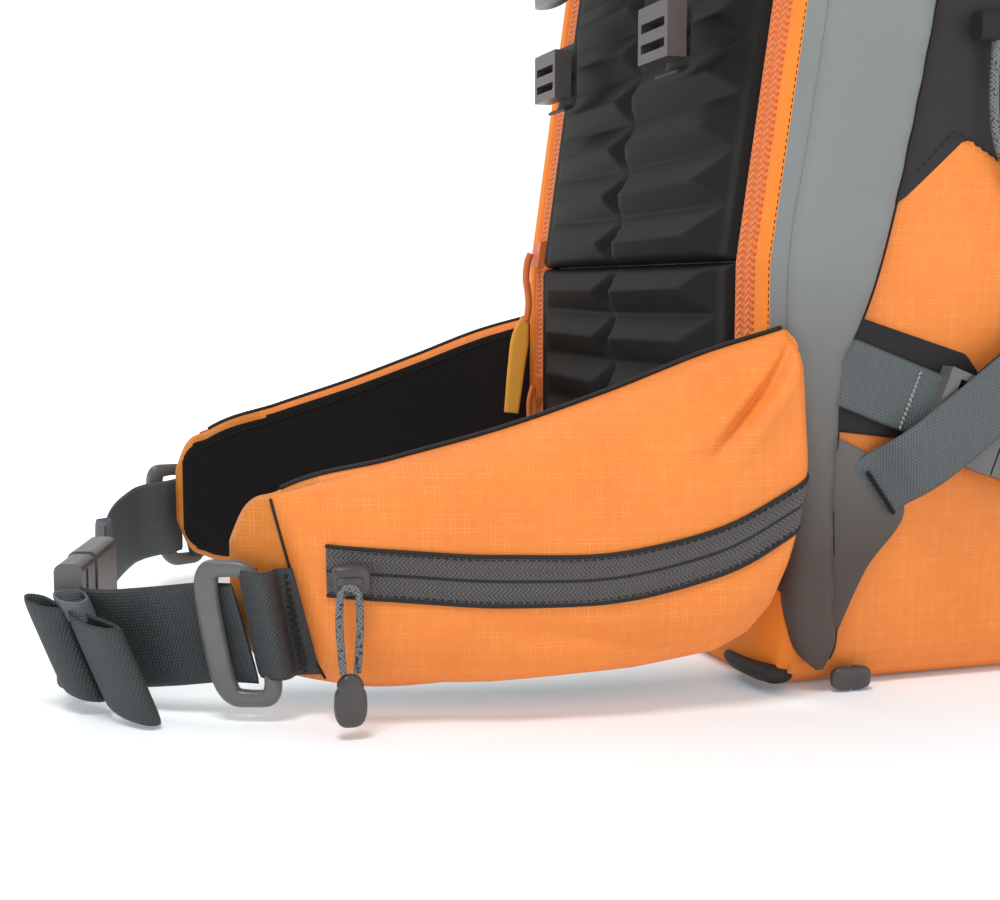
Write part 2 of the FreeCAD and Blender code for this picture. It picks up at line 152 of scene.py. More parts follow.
def quads(rows, cols, first, flip=False):
    made = []
    for i in range(rows - 1):
        for j in range(cols - 1):
            q = [first + i * cols + j, first + i * cols + j + 1,
                 first + (i + 1) * cols + j + 1, first + (i + 1) * cols + j]
            made.append(q[::-1] if flip else q)
    return made


def belts(rows, cols):
    """Faces between rows of points that each run all the way round."""
    return [[i * cols + j, i * cols + (j + 1) % cols, (i + 1) * cols + (j + 1) % cols, (i + 1) * cols + j]
            for i in range(rows - 1) for j in range(cols)]


def closed(name, front, back, uv, mats, front_mats=None, back_mats=None):
    """Closed form from two grids of points with the same border."""
    rows, cols = front.shape[:2]
    count = rows * cols
    faces = quads(rows, cols, 0) + quads(rows, cols, count, True)
    cells = (rows - 1) * (cols - 1)
    chosen = np.zeros(2 * cells, int)
    if front_mats is not None:
        chosen[:cells] = front_mats.ravel()
    if back_mats is not None:
        chosen[cells:] = back_mats.ravel()
    border = [i * cols for i in range(rows)] + [(rows - 1) * cols + j for j in range(1, cols)]
    border += [i * cols + cols - 1 for i in range(rows - 2, -1, -1)] + list(range(cols - 2, -1, -1))
    rims = [[a, b, b + count, a + count] for a, b in zip(border, border[1:])]
    points = np.concatenate([front.reshape(-1, 3), back.reshape(-1, 3)])
    uvs = np.concatenate([uv.reshape(-1, 2)] * 2)
    return mesh_object(name, points, faces + rims, uvs, mats, list(chosen) + [0] * len(rims))


def pad(name, span, low, high, place, height, mats, n=(60, 30), depth=None, pick=None, pick_back=None):
    """Closed pad over span[0]..span[1] between low(u) and high(u). place(u, v, w) gives points w out from
    the base; height(u, v, e) gives w, where e is the distance to the nearest edge."""
    u = np.repeat((span[0] + (span[1] - span[0]) * steps(n[0]))[:, None], n[1] + 1, 1)
    lo, hi = low(u), high(u)
    v = lo + (hi - lo) * steps(n[1])[None, :]
    edge = np.minimum.reduce([v - lo, hi - v, u - span[0], span[1] - u])
    zero = np.zeros_like(u)
    under = zero if depth is None else depth(u, v, edge)
    front, back = place(u, v, height(u, v, edge)), place(u, v, under)
    centres = [(c[:-1, :-1] + c[1:, 1:]) / 2 for c in (u, v, edge)]
    fm = pick(*centres) if pick else None
    bm = pick_back(*centres) if pick_back else None
    return closed(name, front, back, np.stack([u, v], -1), mats, fm, bm)


def smooth_path(points, per=8):
    """Catmull-Rom line through the points."""
    p = np.array(points, float)
    p = np.vstack([2 * p[0] - p[1], p, 2 * p[-1] - p[-2]])
    out = []
    for i in range(1, len(p) - 2):
        for t in np.linspace(0, 1, per, endpoint=False):
            a, b, c, d = p[i - 1:i + 3]
            out.append(0.5 * (2 * b + (c - a) * t + (2 * a - 5 * b + 4 * c - d) * t ** 2
                              + (3 * b - a - 3 * c + d) * t ** 3))
    out.append(p[-2])
    return np.array(out)


def unit(v):
    v = np.asarray(v, float)
    return v / np.maximum(np.linalg.norm(v, axis=-1, keepdims=True), 1e-9)


def strap(name, points, across, width, thick, mats, per=8, crown=0.0, cols=10, fixed=False):
    """Flat or padded strap along a smooth line, its width along across. Width may be a function of 0..1."""
    line = smooth_path(points, per)
    tangent = unit(np.gradient(line, axis=0))
    side = unit(np.asarray(across, float) - tangent * (tangent @ unit(across))[:, None])
    if fixed:
        side = np.repeat(unit(across)[None], len(line), 0)
    out = unit(np.cross(tangent, side))
    run = np.concatenate([[0], np.cumsum(np.linalg.norm(np.diff(line, axis=0), axis=1))])
    wide = width(run / run[-1]) if callable(width) else np.full(len(run), float(width))
    s = steps(cols, 0.75)
    t = (s - 0.5)[None, :] * wide[:, None]
    half = thick / 2 * (1 - np.abs(2 * s - 1) ** (crown or 6)) ** 0.5
    base = line[:, None] + side[:, None] * t[..., None]
    lift = out[:, None] * half[None, :, None]
    uv = np.stack([t, np.repeat(run[:, None], cols + 1, 1)], -1)
    return closed(name, base + lift, base - lift, uv, mats)


def tube(points, radius, sides=8):
    """Points and faces of a thin closed tube."""
    line = np.array(points, float)
    tangent = unit(np.gradient(line, axis=0))
    ref = np.where(np.abs(tangent[:, 2:3]) > 0.9, [[1.0, 0, 0]], [[0, 0, 1.0]])
    a = unit(np.cross(tangent, ref))
    b = np.cross(tangent, a)
    ring = np.linspace(0, 2 * math.pi, sides, endpoint=False)
    around = a[:, None] * np.cos(ring)[None, :, None] + b[:, None] * np.sin(ring)[None, :, None]
    p = line[:, None] + radius * around
    faces = belts(len(line), sides)
    faces += [list(range(sides))[::-1], [(len(line) - 1) * sides + j for j in range(sides)]]
    return p.reshape(-1, 3), faces


def merged(name, parts, mats):
    """One mesh from several (points, faces)."""
    points, faces, count = [], [], 0
    for p, f in parts:
        points.append(p)
        faces += [[k + count for k in q] for q in f]
        count += len(p)
    points = np.concatenate(points)
    return mesh_object(name, points, faces, points[:, [1, 2]], mats)


def stitches(name, line, mats, pitch=3.2, length=2.3, radius=0.3):
    """A row of sewn stitches along a line of points."""
    line = np.array(line, float)
    run = np.concatenate([[0], np.cumsum(np.linalg.norm(np.diff(line, axis=0), axis=1))])
    parts = []
    for start in np.arange(0, run[-1] - length, pitch):
        at = start + length * np.array([0, 0.25, 0.75, 1])
        p = np.stack([np.interp(at, run, line[:, k]) for k in range(3)], -1)
        points, faces = tube(p, radius, 5)
        points = points.reshape(4, 5, 3)
        for k in (0, 3):
            points[k] = p[k] + (points[k] - p[k]) * 0.35
        parts.append((points.reshape(-1, 3), faces))
    return merged(name, parts, mats)


def rod(name, line, radius, mat, sides=6):
    return merged(name, [tube(line, radius, sides)], [mat])


def node_block(node):
    """Middle and half sides of a node's box, in millimetres."""
    lo, hi = (np.array(c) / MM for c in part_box(node))
    return (lo + hi) / 2, (hi - lo) / 2


def rounded_solid(centre, axes, half, power=0.35, n=(18, 28), shape=None):
    """Points and faces of a soft-cornered block. shape(local points) may bend it."""
    th = np.linspace(-math.pi / 2, math.pi / 2, n[0])[:, None]
    ph = np.linspace(-math.pi, math.pi, n[1], endpoint=False)[None, :]

    def soft(v):
        return np.sign(v) * np.abs(v) ** power
    local = np.stack([soft(np.cos(th)) * soft(np.cos(ph)), soft(np.cos(th)) * soft(np.sin(ph)),
                      soft(np.sin(th)) * np.ones_like(ph)], -1) * np.array(half, float)
    if shape:
        local = shape(local)
    world = np.array(centre, float) + local @ np.array(axes, float)
    return world.reshape(-1, 3), belts(*n)


# ---- materials

class Finish:
    """A node material with short calls for the nodes it needs."""

    def __init__(self, name, rough=0.6, sheen=0.0):
        self.mat = bpy.data.materials.new(name)
        self.mat.use_nodes = True
        self.tree = self.mat.node_tree
        self.bsdf = self.tree.nodes["Principled BSDF"]
        self.bsdf.inputs["Roughness"].default_value = rough
        self.bsdf.inputs["Sheen Weight"].default_value = sheen
        self.bsdf.inputs["Sheen Roughness"].default_value = 0.5
        self.coords = self.tree.nodes.new("ShaderNodeTexCoord")

    def put(self, socket, value):
        if isinstance(value, bpy.types.NodeSocket):
            self.tree.links.new(value, socket)
        else:
            socket.default_value = value

    def math(self, op, a, b=0.0, c=0.0):
        node = self.tree.nodes.new("ShaderNodeMath")
        node.operation = op
        for socket, value in zip(node.inputs, (a, b, c)):
            self.put(socket, value)
        return node.outputs[0]

    def times(self, a, b):
        return self.math("MULTIPLY", a, b)

    def plus(self, a, b):
        return self.math("ADD", a, b)

    def ramp(self, value, slope, start):
        return self.math("MULTIPLY_ADD", value, slope, start)

    def axes(self, kind):
        """The three coordinates in millimetres."""
        scaled = self.tree.nodes.new("ShaderNodeVectorMath")
        scaled.operation = "SCALE"
        self.put(scaled.inputs[0], self.coords.outputs[kind])
        scaled.inputs["Scale"].default_value = 1 / MM
        split = self.tree.nodes.new("ShaderNodeSeparateXYZ")
        self.put(split.inputs[0], scaled.outputs[0])
        return split.outputs

    def noise(self, size, detail=3.0):
        node = self.tree.nodes.new("ShaderNodeTexNoise")
        self.put(node.inputs["Vector"], self.coords.outputs["Object"])
        node.inputs["Scale"].default_value = 1 / (size * MM)
        node.inputs["Detail"].default_value = detail
        return node.outputs[0]

    def sine(self, value, period):
        """A wave from 0 to 1."""
        turned = self.math("SINE", self.times(value, 2 * math.pi / period))
        return self.ramp(turned, 0.5, 0.5)

    def mix(self, share, a, b):
        node = self.tree.nodes.new("ShaderNodeMix")
        node.data_type = "RGBA"
        self.put(node.inputs[0], share)
        for slot, value in ((6, a), (7, b)):
            self.put(node.inputs[slot], value if isinstance(value, bpy.types.NodeSocket) else (*value, 1))
        return node.outputs[2]

    def relief(self, height, distance, strength=0.6):
        node = self.tree.nodes.new("ShaderNodeBump")
        node.inputs["Strength"].default_value = strength
        node.inputs["Distance"].default_value = distance * MM
        self.put(node.inputs["Height"], height)
        self.put(self.bsdf.inputs["Normal"], node.outputs[0])

    def colour(self, value):
        linked = isinstance(value, bpy.types.NodeSocket)
        self.put(self.bsdf.inputs["Base Color"], value if linked else (*value, 1))


def ripstop(name, base, light, dark):
    """Plain weave with pairs of thicker threads making squares."""
    f = Finish(name, rough=0.6)
    u, v = f.axes("UV")[:2]
    lines = None
    broken = f.ramp(f.noise(6.0, 3.0), 2.6, -0.85)
    for axis in (u, v):
        for shift in (0.0, 0.3):
            part = f.math("FRACT", f.plus(f.math("DIVIDE", axis, 4.4), shift))
            near = f.math("LESS_THAN", f.math("ABSOLUTE", f.math("SUBTRACT", part, 0.5)), 0.034)
            lines = near if lines is None else f.math("MAXIMUM", lines, near)
    weave = f.times(f.sine(u, 0.62), f.sine(v, 0.62))
    # painted shade of folds: broad noise darkens the cloth in patches
    painted_fold_shade = f.ramp(f.noise(34.0, 2.0), 0.9, -0.1)
    colour = f.mix(f.times(painted_fold_shade, 0.5), base, dark)
    colour = f.mix(f.times(weave, 0.16), colour, dark)
    colour = f.mix(f.times(f.times(lines, broken), 0.38), colour, light)
    f.colour(colour)
    f.relief(f.plus(f.times(weave, 0.5), lines), 0.16, 0.5)
    return f.mat


def cloth(name, base, dark, period=0.8, rough=0.7, mottle=26.0, sheen=0.03, share=0.4, low=None):
    """Fine ribbed cloth with a slight mottle. low is a painted shade colour, browned by painted orange
    bounce light, which the cloth darkens to towards its bottom.
    """
    f = Finish(name, rough=rough, sheen=sheen)
    f.bsdf.inputs["Specular IOR Level"].default_value = 0.3
    x, y, z = f.axes("Object")
    rib = f.sine(z, period)
    cross = f.sine(f.plus(x, y), period)
    weave = f.times(rib, cross)
    colour = f.mix(f.times(f.noise(mottle, 4.0), share), base, dark)
    colour = f.mix(f.times(weave, 0.3), colour, dark)
    if low:
        # painted shade: the colour turns towards low below about 160 mm height, and is fully low under 50 mm
        painted_shade_share = f.ramp(z, -1 / 110.0, 1.45)
        colour = f.mix(f.math("MINIMUM", f.math("MAXIMUM", painted_shade_share, 0.0), 1.0), colour, low)
    f.colour(colour)
    f.relief(f.plus(weave, f.times(f.noise(5.0, 3.0), 0.8)), 0.14, 0.45)
    return f.mat


def webbing(name, base, light, period=1.25):
    """Woven strap: ribs across, offset from column to column."""
    f = Finish(name, rough=0.62)
    u, v = f.axes("UV")[:2]
    step = f.times(f.math("FLOOR", f.math("DIVIDE", u, 1.1)), period * 0.5)
    pick = f.sine(f.plus(v, step), period)
    warp = f.sine(u, 1.1)
    knit = f.times(pick, f.ramp(warp, 0.6, 0.4))
    colour = f.mix(f.times(knit, 0.75), base, light)
    f.colour(f.mix(f.times(f.noise(9.0, 3.0), 0.3), colour, base))
    f.relief(knit, 0.35, 0.8)
    return f.mat


def foam(name, base, light):
    """Moulded foam under a thin knit skin."""
    f = Finish(name, rough=0.62)
    f.bsdf.inputs["Specular IOR Level"].default_value = 0.16
    grain = f.noise(0.7, 2.0)
    f.colour(f.mix(f.ramp(grain, 0.7, f.times(f.noise(30.0), 0.3)), base, light))
    f.relief(f.plus(grain, f.noise(2.6, 2.0)), 0.12, 0.5)
    return f.mat


def knit_zip(name, base, light, dark, columns=3.6, period=2.5):
    """Thick looped zip tape: columns of slanting loops, with painted highlight on the loop tops and painted
    shade in the hollows.
    """
    f = Finish(name, rough=0.75, sheen=0.1)
    u, v = f.axes("UV")[:2]
    slant = f.math("PINGPONG", u, columns / 2)
    loops = f.sine(f.ramp(slant, 0.9, v), period)
    ridge = f.sine(u, columns)
    height = f.times(loops, f.ramp(ridge, 0.7, 0.3))
    # painted shade and highlight: the colour follows the loops' height, dark in the hollows and light on top
    colour = f.mix(height, dark, light)
    f.colour(f.mix(f.times(f.noise(2.0, 3.0), 0.6), colour, base))
    f.relief(height, 0.9, 1.0)
    return f.mat


def zip_tape(name, base, light, dark):
    """Covered coil zip: herringbone tape each side of a dark middle line."""
    f = Finish(name, rough=0.6, sheen=0.1)
    u, v = f.axes("UV")[:2]
    away = f.math("ABSOLUTE", u)
    bars = f.sine(f.ramp(f.math("PINGPONG", u, 2.3), 1.0, v), 1.5)
    colour = f.mix(f.times(bars, 0.8), base, light)
    middle = f.math("LESS_THAN", away, 0.55)
    f.colour(f.mix(middle, colour, dark))
    f.relief(f.math("SUBTRACT", bars, f.times(middle, 3.0)), 0.35, 0.9)
    return f.mat


def plastic(name, base, worn, rough=0.36):
    """Moulded nylon, a little paler where it rubs."""
    f = Finish(name, rough=rough)
    f.colour(f.mix(f.times(f.noise(7.0, 5.0), 0.7), base, worn))
    rough_node = f.ramp(f.noise(2.0, 4.0), 0.22, rough - 0.1)
    f.put(f.bsdf.inputs["Roughness"], rough_node)
    f.relief(f.noise(0.6, 2.0), 0.05, 0.35)
    return f.mat


def braid(name, base, fleck, pale):
    """Round braided cord with flecks."""
    f = Finish(name, rough=0.7, sheen=0.1)
    y, z = f.axes("Object")[1:]
    a = f.sine(f.plus(z, f.times(y, 1.2)), 1.6)
    b = f.sine(f.math("SUBTRACT", z, f.times(y, 1.2)), 1.6)
    weave = f.math("MAXIMUM", a, b)
    colour = f.mix(f.times(weave, 0.7), base, pale)
    f.colour(f.mix(f.math("GREATER_THAN", f.noise(1.3, 1.0), 0.62), colour, fleck))
    f.relief(weave, 0.3, 0.9)
    return f.mat


ORANGE = ripstop("orange_ripstop", (0.87, 0.250, 0.034), (1.0, 0.46, 0.13), (0.62, 0.130, 0.012))
AMBER = ripstop("amber_ripstop", (0.68, 0.212, 0.017), (0.88, 0.38, 0.075), (0.46, 0.108, 0.008))
PLAIN_ORANGE = cloth("orange_cloth", (0.88, 0.255, 0.026), (0.66, 0.14, 0.010), 0.7, sheen=0.0)
CHARCOAL = cloth("charcoal_cloth", (0.030, 0.027, 0.026), (0.015, 0.013, 0.013), 0.9)
# slate cloth with painted shade, browned by painted orange bounce light, on its lower part
SLATE = cloth("slate_cloth", (0.225, 0.246, 0.246), (0.125, 0.132, 0.130), 0.85, rough=0.5, mottle=60.0,
              sheen=0.0, low=(0.074, 0.057, 0.050))
PATCH = cloth("patch_black", (0.016, 0.015, 0.015), (0.008, 0.007, 0.007), 0.9)
LINING = cloth("lining_grey", (0.42, 0.43, 0.42), (0.30, 0.31, 0.30), 1.2)
INNER = cloth("inner_black", (0.0070, 0.0055, 0.0055), (0.0035, 0.003, 0.003), 1.4, rough=0.8, sheen=0.0)
# dark rods: real binding on some edges, painted shadow lines on others
BINDING_AND_SHADOW = cloth("dark_binding_and_shadow", (0.022, 0.020, 0.020), (0.010, 0.010, 0.010), 1.1)
FOAM = foam("moulded_foam", (0.0040, 0.0036, 0.0034), (0.0120, 0.0108, 0.0102))
# one grey webbing in two tones: the first as it looks in light, the second darkened as painted shade for the
# left belt strap, its tail loops and the wing anchor patches
WEB_GREY = webbing("webbing_grey", (0.060, 0.073, 0.077), (0.180, 0.210, 0.216))
WEB_GREY_SHADED = webbing("webbing_grey_painted_shade", (0.024, 0.029, 0.031), (0.078, 0.090, 0.095))
WEB_BLACK = webbing("webbing_black", (0.010, 0.010, 0.010), (0.045, 0.045, 0.045))
ELASTIC = webbing("elastic_pale", (0.10, 0.11, 0.125), (0.24, 0.255, 0.275), 1.0)
KNIT = knit_zip("orange_knit_zip", (0.88, 0.20, 0.03), (1.0, 0.36, 0.075), (0.56, 0.075, 0.010))
ZIP = zip_tape("zip_charcoal", (0.042, 0.037, 0.037), (0.13, 0.12, 0.12), (0.006, 0.006, 0.006))
HARD_GREY = plastic("nylon_grey", (0.098, 0.096, 0.097), (0.150, 0.146, 0.144))
HARD_DARK = plastic("nylon_dark", (0.045, 0.040, 0.040), (0.085, 0.078, 0.076))
HARD_ORANGE = plastic("nylon_orange", (0.60, 0.12, 0.02), (0.75, 0.22, 0.05), 0.45)
PULL = cloth("pull_tape", (0.86, 0.40, 0.055), (0.66, 0.24, 0.02), 0.8)
CORD = braid("braided_cord", (0.055, 0.060, 0.062), (0.022, 0.022, 0.023), (0.24, 0.25, 0.25))
THREAD_DARK = cloth("thread_dark", (0.018, 0.018, 0.018), (0.008, 0.008, 0.008), 0.5)
THREAD_PALE = cloth("thread_pale", (0.40, 0.40, 0.39), (0.22, 0.22, 0.22), 0.5)
SHEET = plastic("sheet_white", (0.72, 0.72, 0.70), (0.60, 0.60, 0.58), 0.5)


def piece(obj, body, slot, *nodes, fill=None):
    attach(obj, body)
    if nodes:
        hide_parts(*nodes)
    return obj


def web_strap(name, points, across, width, thick, mats, *nodes, body="pack", slot="webbing_grey", **shape):
    piece(strap(name, points, across, width, thick, mats, **shape), body, slot, *nodes)


def between(name, node, points, across, width, thick, mats, slot, start_body, end_body, start, end, **shape):
    """Webbing from one body to another, made as one fixed strap."""
    web = strap(name, points, across, width, thick, mats, **shape)
    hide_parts(node)
    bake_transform(web)


def sewn(name, line, pitch=3.2, length=2.3, radius=0.3):
    """Dark stitches on the bag."""
    piece(stitches(name, line, [THREAD_DARK], pitch, length, radius), "pack", "webbing_black")


def dark_edge_rod(name, line, radius):
    """Dark rod along an edge of the bag: binding on some edges, painted shadow line on others."""
    piece(rod(name, line, radius, BINDING_AND_SHADOW), "pack", "webbing_black")


def thicken(obj, thick, offset=-1.0):
    made = obj.modifiers.new("thickness", "SOLIDIFY")
    made.thickness = thick * MM
    made.offset = offset
    return obj


# ---- camera and light

def make_camera():
    turn, dip = math.radians(16.7), math.radians(6.0)
    ahead = Vector((math.cos(turn) * math.cos(dip), -math.sin(turn) * math.cos(dip), -math.sin(dip)))
    right = Vector((-math.sin(turn), -math.cos(turn), 0))
    up = right.cross(ahead)
    cam = bpy.data.objects.new("camera", bpy.data.cameras.new("camera"))
    bpy.context.scene.collection.objects.link(cam)
    cam.data.sensor_width = 36.0
    cam.data.lens = 55.19
    cam.data.clip_start, cam.data.clip_end = 0.02, 30
    axes = Matrix((right, up, -ahead)).transposed().to_4x4()
    cam.matrix_world = Matrix.Translation((-0.639, 0.254, 0.147)) @ axes
    bpy.context.scene.camera = cam


def add_light(name, place, aim, size, power):
    lamp = bpy.data.lights.new(name, "AREA")
    lamp.shape, lamp.size, lamp.energy = "DISK", size, power
    obj = bpy.data.objects.new(name, lamp)
    obj.location = place
    obj.rotation_euler = (Vector(aim) - Vector(place)).to_track_quat("-Z", "Y").to_euler()
    bpy.context.scene.collection.objects.link(obj)


def make_backdrop():
    """White ring of paper far behind the object, which gives light and returns little of it."""
    paper = Finish("backdrop_white", rough=0.9)
    paper.colour((0.02, 0.02, 0.02))
    paper.bsdf.inputs["Emission Color"].default_value = (1, 1, 1, 1)
    paper.bsdf.inputs["Emission Strength"].default_value = 1.05
    around = np.linspace(0, 2 * math.pi, 65)
    ring = [(BACKDROP * math.cos(a), BACKDROP * math.sin(a)) for a in around]
    points = np.array([[(x, y, z) for x, y in ring] for z in (-10.0, WALL)])
    obj = mesh_object("backdrop", points.reshape(-1, 3), quads(2, 65, 0), points[..., :2].reshape(-1, 2),
                      [paper.mat])


def make_studio():
    floor_mesh = bpy.data.meshes.new("floor")
    far = 12.0
    corners = [(-far, -far, 0), (far, -far, 0), (far, far, 0), (-far, far, 0)]
    floor_mesh.from_pydata(corners, [], [[0, 1, 2, 3]])
    floor = bpy.data.objects.new("floor", floor_mesh)
    bpy.context.scene.collection.objects.link(floor)
    finish = Finish("floor_white", rough=0.9)
    finish.colour(finish.mix(finish.noise(900.0), (0.93, 0.93, 0.93), (0.92, 0.92, 0.925)))
    # painted light: the floor glows, weak and bluish near the bag so its shadows read cool grey, rising to
    # white between about 0.15 m and 0.75 m out
    x, y = finish.axes("Object")[:2]
    away = finish.math("SQRT", finish.plus(finish.times(x, x), finish.times(y, y)))
    rise = finish.ramp(away, 1 / 600.0, -0.24)
    rise = finish.math("MINIMUM", finish.math("MAXIMUM", rise, 0.0), 1.0)
    finish.put(finish.bsdf.inputs["Emission Color"], finish.mix(rise, (0.05, 0.095, 0.115), (1.0, 1.0, 1.0)))
    finish.bsdf.inputs["Emission Strength"].default_value = 1.0
    floor_mesh.materials.append(finish.mat)
    world = bpy.data.worlds.new("studio")
    world.use_nodes = True
    make_backdrop()
    world.node_tree.nodes["Background"].inputs[0].default_value = (1, 1, 1, 1)
    world.node_tree.nodes["Background"].inputs[1].default_value = 0.34
    bpy.context.scene.world = world
    bpy.context.scene.view_settings.view_transform = "Standard"
    add_light("key", (-0.7, 0.5, 1.7), (-0.05, 0, 0.1), 0.6, 17)
    add_light("fill", (-1.4, -0.6, 0.8), (0, -0.05, 0.15), 1.1, 2.4)
    add_light("back", (0.9, 0.6, 1.2), (0, 0, 0.2), 0.8, 6)


# ---- free cords

def cord(name, points, diameter, mats):
    curve = bpy.data.curves.new(name, "CURVE")
    curve.dimensions = "3D"
    curve.bevel_depth = diameter / 2
    curve.bevel_resolution = 5
    curve.resolution_u = 16
    curve.use_fill_caps = True
    line = curve.splines.new("NURBS")
    line.points.add(len(points) - 1)
    for spot, p in zip(line.points, points):
        spot.co = (*p, 1)
    line.order_u = 3
    line.use_endpoint_u = True
    curve.materials.append(mats)
    obj = bpy.data.objects.new(name, curve)
    bpy.context.scene.collection.objects.link(obj)
    return obj


BUNGEE_ROUTE = [(-0.080, 0.236), (-0.079, 0.214), (-0.083, 0.194), (-0.096, 0.180), (-0.115, 0.178),
                (-0.131, 0.189), (-0.140, 0.208), (-0.142, 0.236)]
PULL_ROWS = [(0.0024, 0.0222), (0.0031, 0.031), (0.0036, 0.0405), (0.0029, 0.0505)]
SLIDER_Y = 0.160
PULL_X = -(WING_CENTRE_X - math.sqrt((POCKET_OUT + 10.2) ** 2 - (SLIDER_Y / MM - WING_CENTRE_Y) ** 2)) * MM


def make_cords():
    for side, label in SIDES:
        route = [(side * 0.149, y, z) for y, z in BUNGEE_ROUTE]
        bungee = cord(f"{label}_bungee_cord", route, 0.0034, CORD)
        piece(bungee, "pack", "cord_grey", f"{label}_bungee")
        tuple(route[0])
        up = [(side * PULL_X, SLIDER_Y + s, z) for s, z in PULL_ROWS]
        down = [(side * PULL_X, SLIDER_Y - s, z) for s, z in reversed(PULL_ROWS)]
        pull = cord(f"{label}_pull_cord", up + down, 0.0026, CORD)
        piece(pull, f"{label}_pocket_pull", "cord_grey", f"{label}_hip_pull_cord")
        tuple(up[0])


# ---- bag shell

BAND_FRONT = spline([(8, -17), (14, -20.5), (34, -21), (71, -19.7), (94, -21), (124, -24.4), (136, -29.9),
                     (180, -43), (201, -47.6), (462, -87.8)])
BAND_BACK = spline([(8, -15), (14, -8), (26, -2.5), (60, -0.6), (134, -0.6), (157, -1.0), (200, -7.4),
                    (462, -45.4)])
UPPER_EDGE = straight([(-222, 172), (-160, 172), (-110, 178), (-67.5, 202), (-43.5, 178.8), (0, 160)])


def shell_point(share, height):
    """Point on the bag's outside: share 0..1 round it from left to right, and its height."""
    corner, foot = 24.0, 14.0
    rear, front = back_y(height) - SEAT, front_y(height)
    low = np.clip(1 - height / foot, 0, 1)
    high = np.clip(1 - (BODY_HEIGHT - height) / foot, 0, 1)
    inset = foot * (1 - np.sqrt(1 - np.maximum(low, high) ** 2))
    side_run = rear - (front + corner)
    arc = corner * math.pi / 2
    half = side_run + arc + (SIDE - corner)
    along = (0.5 - np.abs(share - 0.5)) * 2 * half
    hand = np.where(share < 0.5, -1.0, 1.0)
    angle = np.clip((along - side_run) / corner, 0, math.pi / 2)
    x = np.where(along < side_run, SIDE, SIDE - corner * (1 - np.cos(angle)))
    x = np.where(along > side_run + arc, half - along, x)
    y = np.where(along < side_run, rear - along, front + corner * (1 - np.sin(angle)))
    y = np.where(along > side_run + arc, front, y)
    middle = np.clip(along / np.maximum(side_run, 1), 0, 1)
    sag = 2.2 * (1 - np.sin(math.pi * np.clip(height / BODY_HEIGHT, 0, 1)) ** 0.5)
    fold = 2.0 * np.sin(height / 15.0 + along / 21.0) * np.sin(math.pi * middle)
    fold += 0.7 * np.sin(along / 11.0 - height / 31.0)
    pull = np.where(along < side_run, sag - 0.35 * fold + 1.0, 0.0)
    x = np.maximum(x - inset - np.clip(pull, 0, 4), 0)
    y = y + np.where(along > side_run, inset + 0.6 * np.abs(fold), 0)
    return np.stack([hand * x, y, height + 0.0 * x], -1), along


def shell_grid(name, low, high, rows, mats, cap=None):
    """Part of the bag's shell between two heights given by functions of depth."""
    share = np.repeat(steps(SHELL_COLUMNS, 0.2)[None, :], rows + 1, 0)
    depth = shell_point(share[0], np.full(SHELL_COLUMNS + 1, 120.0))[0][:, 1]
    bottom, top = low(depth), high(depth)
    height = bottom[None, :] + (top - bottom)[None, :] * steps(rows, 0.5)[:, None]
    points, along = shell_point(share, height)
    uv = np.stack([along, height], -1)
    if cap:
        first = points[0] if cap == "base" else points[-1]
        anchor = np.array([0, first[0, 1], first[0, 2]])
        extra = []
        for k in (0.86, 0.62, 0.36, 0.12, 0.0):
            ring = anchor + (first - anchor) * k
            ring[:, 2] = first[0, 2] + (0.5 if cap == "base" else 0.0)
            extra.append(ring)
        extra = np.array(extra)
        extra_uv = extra[:, :, :2]
        if cap == "base":
            points, uv = np.concatenate([extra[::-1], points]), np.concatenate([extra_uv[::-1], uv])
        else:
            points, uv = np.concatenate([points, extra]), np.concatenate([uv, extra_uv])
    n, m = points.shape[:2]
    obj = mesh_object(name, points.reshape(-1, 3), quads(n, m, 0), uv.reshape(-1, 2), mats)
    return thicken(obj, 1.6, -1.0)


def flat(value):
    return lambda y: np.full_like(np.asarray(y, float), value)


def make_shell():
    lower = shell_grid("lower_shell", flat(0.6), UPPER_EDGE, 70, [ORANGE], "base")
    piece(lower, "pack", "shell_orange", "side_panels", "base_panel", "front_panel")
    upper = shell_grid("upper_shell", UPPER_EDGE, flat(BODY_HEIGHT), 80, [CHARCOAL], "top")
    piece(upper, "pack", "shell_charcoal", "upper_side_panels", "top_panel")
    for side, label in SIDES:
        line = [(side * (SIDE - 0.8), y, float(UPPER_EDGE(y)) + 2.2) for y in np.linspace(-215, -50, 90)]
        sewn(f"{label}_panel_seam", line, 3.4, 2.4)
    make_rear_frame()
    for side, label in SIDES:
        make_band(side, label)


def ring_loop(half, low, high, corner, count=64):
    """Rounded rectangle in x and z, starting at the middle of its top."""
    spots = []
    centres = ((half - corner, high - corner, 90), (half - corner, low + corner, 0),
               (corner - half, low + corner, -90), (corner - half, high - corner, -180))
    for x, z, start in centres:
        for a in np.linspace(start, start - 90, count // 4):
            spots.append((x + corner * math.cos(math.radians(a)), z + corner * math.sin(math.radians(a))))
    spots.append(spots[0])
    p = np.array(spots)
    run = np.concatenate([[0], np.cumsum(np.linalg.norm(np.diff(p, axis=0), axis=1))])
    return p, run


